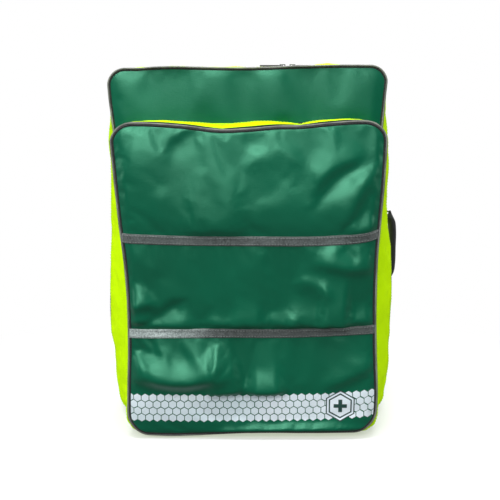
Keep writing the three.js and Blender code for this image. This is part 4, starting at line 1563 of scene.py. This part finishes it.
def signed_volume(obj):
    """Six times a closed mesh's volume, below 0 if its faces point in."""
    total = 0.0
    for polygon in obj.data.polygons:
        ids = polygon.vertices
        a = obj.data.vertices[ids[0]].co
        for i in range(1, len(ids) - 1):
            b, c = obj.data.vertices[ids[i]].co, obj.data.vertices[ids[i + 1]].co
            total += a.dot(b.cross(c))
    return total


def strap_tab(side, name):
    """The triangular tab in the side seam that carries the lower end of the strap's webbing."""
    low, high = span(f"strap_{name}_tab")
    outer, inner = (high[0], low[0]) if side > 0 else (low[0], high[0])
    corners = [(outer, low[2]), (outer, high[2]), (inner, 58), (inner, 28)]
    tab = flat_patch("tab", corners, low[1], high[1] - 0.2, GREEN, 2.0)
    parts = [tab]
    ring = np.array(corners + corners[:1], float)
    centre = ring[:-1].mean(0)
    ring = centre + (ring - centre) * 0.86
    path = resample(at_depth(ring, high[1] + 0.05), 120)
    parts.append(stitches("sewn", path, (0, 1, 0), GREEN_THREAD, 2.6, 1.3, 0.34))
    end = (side * TAB_X, high[1] + 0.1, 43)
    parts.append(box_stitch("webbing_sewn", end, (-1, 0, 0), (0, 0, 1), 17, 16, PALE_THREAD))
    keep(join(f"strap_tab_{name}", parts), "shell", "green_panel", f"strap_{name}_tab")


def build_back():
    """The pads and shoulder straps against the wearer's back."""
    for name, side in (("left", -1), ("right", 1)):
        back_cushion(f"back_cushion_{name}", f"back_pad_{name}", 4, 24, 44)
        strap_pad(side, name)
        strap_webbing(side, name)
        strap_tail(name)
        strap_tab(side, name)
    back_cushion("lumbar_cushion", "lumbar_pad", 1, 44, 16)
    shoulder_yoke()


def shoulder_yoke():
    """The patch across the top of the back that both shoulder straps are sewn under."""
    low, high = span("strap_yoke")
    parts = [flat_patch("yoke", box_corners(low, high), low[1], high[1] - 0.3, GREEN, 4.0)]
    for inset in (4.0, 8.0):
        ring = np.array(box_corners(low + inset, high - inset))
        ring = np.vstack([ring, ring[:1]])
        path = resample(at_depth(ring, high[1] - 0.1), 260)
        parts.append(stitches("sewn", path, (0, 1, 0), GREEN_THREAD, 2.8, 1.3, 0.36))
    for strap_x in (-76, 76):
        centre = (strap_x, high[1], (low[2] + high[2]) / 2)
        parts.append(box_stitch("bar", centre, (-1, 0, 0), (0, 0, 1), 26, 16, PALE_THREAD))
    keep(join("shoulder_yoke", parts), "shell", "green_panel", "strap_yoke")


def build_top_handle():
    """The carry handle: two legs and a cross piece of webbing, a padded sleeve, and its two sewn bases. It
    hangs against the back, leaning out from its pivot."""
    low, high = span("top_handle_loop")
    pivot = np.array([0, low[1] + 1.2, high[2] - 1.9])
    lean = math.radians(20)
    hang = unit(np.array([0, math.sin(lean), -math.cos(lean)]))
    out = np.array([0, math.cos(lean), math.sin(lean)])
    web, half, drop = 25.0, high[0], 56.0
    cross = drop - web / 2
    parts = []
    for side in (-1, 1):
        leg = pivot + (side * (half - web / 2), 0, 0)
        down = np.linspace(-2, drop - 0.6, 30)[:, None]
        path = leg + hang * down + out * (0.5 * np.sin(down / 11))
        parts.append(ribbon("leg", path, (1, 0, 0), web, 1.6, BLACK_BAND_Z))
        corner = leg + hang * cross + out * 2.6
        parts.append(box_stitch("corner", corner, (-1, 0, 0), -hang, 17, 17, PALE_THREAD))
    x = np.linspace(-half + 0.6, half - 0.6, 60)[:, None]
    path = pivot + np.hstack([x, 0 * x, 0 * x]) + hang * cross + out * 1.65
    parts.append(ribbon("cross", path, hang, web, 1.6, BLACK_BAND_X))
    keep(join("top_handle_webbing", parts), "top_handle", "black_webbing", "top_handle_loop")

    low, high = span("top_handle_grip")
    x = np.linspace(low[0], high[0], 40)
    section = squared_section(36, (0.75, 0.75)) * (15.0, 5.4)
    angle = np.linspace(0, 2 * math.pi, 36, endpoint=False)
    rings = []
    for value in x:
        share = (value - low[0]) / (high[0] - low[0])
        full = 0.86 + 0.14 * math.sin(share * math.pi) ** 0.5
        wrinkle = 1 + 0.02 * np.sin(angle * 3 + value / 6)
        flat = section * (full * wrinkle)[:, None]
        rings.append(pivot + (value, 0, 0) + hang * cross + flat[:, :1] * hang + flat[:, 1:] * out)
    sleeve = sheet("sleeve", np.stack(rings), NYLON, 1.2, closed=True)
    seam = pivot + np.stack([x[2:-2], 0 * x[2:-2], 0 * x[2:-2]], 1) + hang * (cross + 10.5) + out * 4.6
    sewn = stitches("seam", seam, out, PALE_THREAD, 2.8, 1.3, 0.36)
    keep(join("top_handle_sleeve", [sleeve, sewn]), "top_handle", "black_plastic", "top_handle_grip")

    for name in ("left", "right"):
        node = f"top_handle_anchor_{name}"
        low, high = span(node)
        patch = flat_patch("patch", box_corners(low, high), low[1] - 0.3, high[1] - 0.3, BLACK_BAND_X, 0.8)
        middle = (low + high) / 2
        sewn = box_stitch("sewn", (middle[0], high[1], middle[2]), (-1, 0, 0), (0, 0, 1), 20, 15, PALE_THREAD)
        keep(join(f"top_handle_base_{name}", [patch, sewn]), "shell", "black_webbing", node)


def soft_band(path, across, up, width, thick, material):
    """Webbing along a path, whose directions, width and thickness are given at each point."""
    section = squared_section(16, (0.7, 0.9)) * (0.5**0.7, 1)
    rings = (path[:, None] + across[:, None] * (section[None, :, :1] * width[:, None, None])
             + up[:, None] * (section[None, :, 1:] * thick[:, None, None]))
    return build_mesh("band", *tube(rings), material)


def build_side_handle():
    """The carry handle on the right side wall: a padded grab that bows out, and two sewn bases."""
    low, high = span("side_handle_webbing")
    y = (low[1] + high[1]) / 2
    axis_x, middle = 211.4, (low[2] + high[2]) / 2
    outer = high[0] - 1.4
    bow = [(axis_x, -1), (axis_x + 2.5, 6), (outer - 1.0, 17), (outer, 26)]
    path = [(x, y, low[2] + up) for x, up in bow]
    path += [(outer + 0.3, y, middle)]
    path += [(x, y, high[2] - up) for x, up in bow[::-1]]
    path = spline(path, 90)
    share = np.abs(np.linspace(-1, 1, len(path)))
    width = 20 * (1 - 0.72 * ease(share, 0.78, 1.0))
    thin = 1.3
    thick = thin + 4.2 * (1 - ease(share, 0.80, 1.0))
    across, up = frame_along(path, (0, 1, 0))
    path = path - np.array([1, 0, 0]) * (thick - thin)[:, None]
    parts = [soft_band(path, across, up, width, thick, BLACK_SLEEVE)]
    inner = slice(12, -12)
    for way in (-1, 1):
        line = path[inner] + across[inner] * way * 7.0 + np.array([1, 0, 0]) * (thick[inner] * 0.72)[:, None]
        parts.append(stitches("run", line, (1, 0, 0), BLACK_THREAD, 2.6, 1.3, 0.34))
    keep(join("side_handle_grab", parts), "side_handle", "black_webbing", "side_handle_webbing")

    for name, way in (("lower", -1), ("upper", 1)):
        start = middle + way * 53
        steps = start + way * np.linspace(5, 34, 16)
        place = np.array([REAR_WALL.girth.place_at_height(step, 1) for step in steps])
        on_wall = REAR_WALL.at(place, y, 0.9)
        path = resample(np.vstack([[(axis_x - 0.3, y, start - way)], on_wall]), 40)
        width = 20 * (0.28 + 0.72 * ease(np.linspace(0, 1, 40), 0.0, 0.42))
        base = soft_band(path, *frame_along(path, (0, 1, 0)), width, np.full(40, 1.2), BLACK_BAND_Z)
        tangent = unit(on_wall[12] - on_wall[6])
        tangent = tangent * np.sign(tangent[2])
        sewn = box_stitch("sewn", on_wall[9] + (1.3, 0, 0), (0, 1, 0), tangent, 14, 14, PALE_THREAD)
        obj = join(f"side_handle_base_{name}", [base, sewn])
        keep(obj, "shell", "black_webbing", f"side_handle_anchor_{name}")


def finish_hardware():
    """Carried-over CAD parts get their material and eased edges."""
    for node, obj in frame["nodes"].items():
        if node.endswith(("_slider", "_pull", "_adjuster")):
            dress(obj, METAL if node.endswith("_slider") else PLASTIC, 0.5)
        if node in ("frame_sheet", "base_board"):
            dress(obj, BOARD, 0.8)


def dress(obj, material, bevel_mm):
    """Gives a CAD part its material and rounds its edges."""
    obj.data.materials.clear()
    obj.data.materials.append(material)
    bevel = obj.modifiers.new("eased_edges", "BEVEL")
    bevel.width = bevel_mm * MM
    bevel.segments = 3
    bevel.limit_method = "ANGLE"
    bevel.harden_normals = True
    obj.data.polygons.foreach_set("use_smooth", [True] * len(obj.data.polygons))


# ---------------------------------------------------------------- studio
def build_floor():
    """A pale floor. It drops out of the way as the covers swing down past the bag's foot."""
    size = 6000
    points = [(-size, -size, 0), (size, -size, 0), (size, size, 0), (-size, size, 0)]
    floor = build_mesh("floor", points, [(0, 1, 2, 3)], pale_floor(), smooth=False)
    lid_drop = ((0, 0), (30, -70), (60, -120), (90, -140), (120, -340), (150, -500))
    drive(floor, "location", "TRANSFORMS", ("body:lid",), lid_drop)
    drive(floor, "delta_location", "ROTATION_DIFF", ("body:lid", "body:pocket_door"), ((0, 0), (60, -40)))


def drive(obj, channel, kind, targets, keys):
    """Drives an object's height by the angle of a body, through (degrees, millimetres) keys."""
    curve = obj.driver_add(channel, 2)
    driver = curve.driver
    driver.type = "AVERAGE"
    variable = driver.variables.new()
    variable.type = kind
    for target, name in zip(variable.targets, targets):
        target.id = bpy.data.objects[name]
        if kind == "TRANSFORMS":
            target.transform_type = "ROT_X"
            target.transform_space = "WORLD_SPACE"
    for modifier in list(curve.modifiers):
        curve.modifiers.remove(modifier)
    for degrees, drop in keys:
        curve.keyframe_points.insert(math.radians(degrees), drop * MM)


def area_light(name, place, target, size, power):
    """A lamp in metres and watts, turned to a target."""
    light = bpy.data.lights.new(name, "AREA")
    light.shape = "RECTANGLE"
    light.size, light.size_y = size
    light.energy = power
    obj = bpy.data.objects.new(name, light)
    obj.location = place
    obj.rotation_euler = (Vector(target) - Vector(place)).to_track_quat("-Z", "Y").to_euler()
    bpy.context.scene.collection.objects.link(obj)


def build_lights():
    """Soft light from above, strips in front for the cloth's sheen, and weaker light at the sides."""
    area_light("overhead", (-0.1, -0.62, 2.3), (0, -0.05, 0.25), (1.7, 0.9), 40)
    area_light("window", (-0.5, -2.3, 1.33), (0, -0.1, 0.25), (1.5, 0.6), 16)
    area_light("high_window", (-0.4, -2.15, 1.66), (0, -0.1, 0.25), (1.3, 0.35), 22)
    area_light("low_window", (0.0, -2.4, 0.80), (0, -0.1, 0.25), (1.7, 0.4), 2.6)
    area_light("left_side", (-1.9, -0.6, 1.0), (0, 0, 0.25), (0.8, 1.2), 12)
    area_light("right_side", (1.9, -0.5, 1.0), (0, 0, 0.25), (0.8, 1.2), 8)
    area_light("behind", (0.3, 1.7, 1.5), (0, 0, 0.25), (1.6, 1.0), 26)


def build_room():
    """The room is plain white to the camera. To the cloth it's bright overhead and dim at the horizon, so
    that folds which face down stay dark."""
    world = bpy.data.worlds.new("studio")
    bpy.context.scene.world = world
    room = Nodes(world)
    way = room.node("ShaderNodeTexCoord").outputs["Generated"]
    height = room.node("ShaderNodeSeparateXYZ", {0: way}).outputs["Z"]
    levels = {"Value": height, "From Min": 0.0, "From Max": 0.9, "To Min": 0.05, "To Max": 0.6}
    strength = room.node("ShaderNodeMapRange", levels).outputs["Result"]
    lit = room.tree.nodes["Background"]
    room.feed(lit.inputs["Color"], (0.93, 0.97, 1.0, 1))
    room.feed(lit.inputs["Strength"], strength)
    white = room.node("ShaderNodeBackground", {"Color": (1, 1, 1, 1), "Strength": 1.0})
    seen = room.node("ShaderNodeLightPath").outputs["Is Camera Ray"]
    mix = room.node("ShaderNodeMixShader", {"Fac": seen, 1: lit.outputs[0], 2: white.outputs[0]})
    room.feed(room.tree.nodes["World Output"].inputs["Surface"], mix.outputs[0])
    bpy.context.scene.view_settings.view_transform = "Standard"
    bpy.context.scene.view_settings.look = "None"


def build_camera():
    """In front of the bag at about its shoulder height, looking slightly down."""
    distance, height, looking_down, lens = 1.2, 0.4414, 9.506, 59.07
    camera = bpy.data.cameras.new("camera")
    camera.lens = lens
    camera.sensor_width = 36
    obj = bpy.data.objects.new("camera", camera)
    obj.location = (0, -distance, height)
    obj.rotation_euler = (math.radians(90 - looking_down), 0, 0)
    bpy.context.scene.collection.objects.link(obj)
    bpy.context.scene.camera = obj


build_front_pocket()
build_pocket_root()
build_lid()
build_rear()
build_mesh_pocket()
build_kit_bands()
build_back()
build_top_handle()
build_side_handle()
finish_hardware()
build_floor()
build_lights()
build_room()
build_camera()
